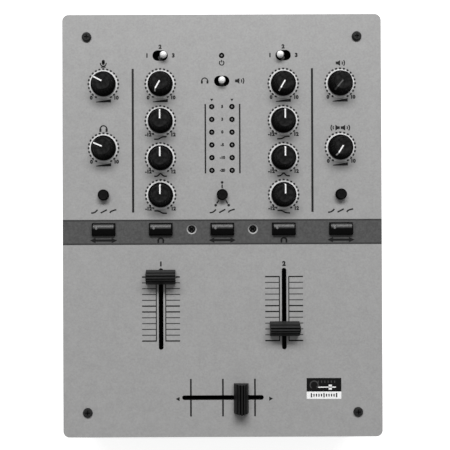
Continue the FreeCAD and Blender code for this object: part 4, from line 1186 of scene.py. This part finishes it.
def paint_nodes():
    """Give every CAD node that stays its own procedural material."""
    looks = {
        "top_panel": PANEL,
        "base_tray": CASE,
        "rear_panel": CASE,
        "rubber_feet": RUBBER,
        "panel_screws": PANEL_SCREW,
        "case_fasteners": SCREW,
        "spacer_posts": STEEL,
        "control_board": BOARD,
        "rotary_pots": STEEL,
        "pot_nuts": STEEL,
        "lever_switches": BUTTON,
        "button_switches": SOCKET,
        "indicator_lights": LENS,
        "fader_frames": FRAME_STEEL_SHADE,
        "phono_sockets": phono_look(),
        "jack_sockets": SOCKET,
        "power_inlet": SOCKET,
        "power_switch_housing": SOCKET,
        "power_rocker": BUTTON,
    }
    for name, node in nodes.items():
        if name in looks:
            look = looks[name]
        elif name.endswith("_lever"):
            look = WHITE
        elif name.endswith("_shaft"):
            look = STEEL
        else:
            look = BUTTON
        node.data.materials.clear()
        node.data.materials.append(look)


# Stage

def add_floor():
    """A pale floor with walls far off, white where the camera or a reflection sees it."""
    size = FLOOR_SIZE / 2
    rounds = ((-size, -size), (size, -size), (size, size), (-size, size))
    points = [(x, y, z) for z in (0, BACKDROP_HEIGHT) for x, y in rounds]
    sides = [(0, 1, 2, 3)] + [(k, (k + 1) % 4, (k + 1) % 4 + 4, k + 4) for k in range(4)]
    mesh = bpy.data.meshes.new("floor")
    mesh.from_pydata(points, [], sides)
    floor = bpy.data.objects.new("floor", mesh)
    bpy.context.scene.collection.objects.link(floor)
    look = bpy.data.materials.new("floor")
    look.use_nodes = True
    tree = look.node_tree
    shader = tree.nodes["Principled BSDF"]
    shader.inputs["Base Color"].default_value = (FLOOR_TONE, FLOOR_TONE, FLOOR_TONE, 1)
    shader.inputs["Roughness"].default_value = 0.9
    shader.inputs["Specular IOR Level"].default_value = 0.0
    path = tree.nodes.new("ShaderNodeLightPath")
    seen = path.outputs["Is Camera Ray"]
    for kind in ("Is Glossy Ray", "Is Transmission Ray"):
        either = tree.nodes.new("ShaderNodeMath")
        either.operation = "MAXIMUM"
        tree.links.new(seen, either.inputs[0])
        tree.links.new(path.outputs[kind], either.inputs[1])
        seen = either.outputs["Value"]
    glow = tree.nodes.new("ShaderNodeMath")
    glow.operation = "MULTIPLY"
    glow.inputs[1].default_value = FLOOR_GLOW
    tree.links.new(seen, glow.inputs[0])
    shader.inputs["Emission Color"].default_value = (1, 1, 1, 1)
    tree.links.new(glow.outputs["Value"], shader.inputs["Emission Strength"])
    mesh.materials.append(look)


def add_light():
    """A white sky, and a bank of soft lamps in an arc behind the mixer."""
    world = bpy.data.worlds.new("studio")
    world.use_nodes = True
    sky = world.node_tree.nodes["Background"]
    sky.inputs["Color"].default_value = (1, 1, 1, 1)
    sky.inputs["Strength"].default_value = AMBIENT
    bpy.context.scene.world = world

    target = Vector((0, 0, PANEL_TOP * MM))
    flat = KEY_DISTANCE * math.cos(KEY_ELEVATION)
    height = KEY_DISTANCE * math.sin(KEY_ELEVATION)
    for step in range(KEY_LAMPS):
        lamp = bpy.data.lights.new(f"key_{step}", "AREA")
        lamp.energy = KEY_POWER
        lamp.size = KEY_SIZE
        holder = bpy.data.objects.new(lamp.name, lamp)
        bpy.context.scene.collection.objects.link(holder)
        azimuth = KEY_SPREAD * (step / (KEY_LAMPS - 1) - 0.5)
        offset = Vector((flat * math.sin(azimuth), flat * math.cos(azimuth), height))
        holder.location = target + offset
        holder.rotation_euler = (-offset).to_track_quat("-Z", "Y").to_euler()


def add_camera():
    """The camera, over the panel and looking down."""
    camera = bpy.data.cameras.new("camera")
    camera.sensor_width = SENSOR
    camera.lens = CAMERA_LENS
    camera.shift_x, camera.shift_y = CAMERA_SHIFT
    camera.clip_end = CAMERA_REACH
    eye = bpy.data.objects.new("camera", camera)
    bpy.context.scene.collection.objects.link(eye)
    eye.location = Vector((CAMERA_X, CAMERA_Y, PANEL_TOP + CAMERA_ABOVE_PANEL)) * MM
    eye.rotation_euler = CAMERA_TURN
    bpy.context.scene.camera = eye
    bpy.context.scene.view_settings.view_transform = "Standard"


paint_nodes()
dress_knobs()
dress_curve_knobs()
dress_buttons()
dress_caps()
print_panel()
label()
add_floor()
add_light()
add_camera()
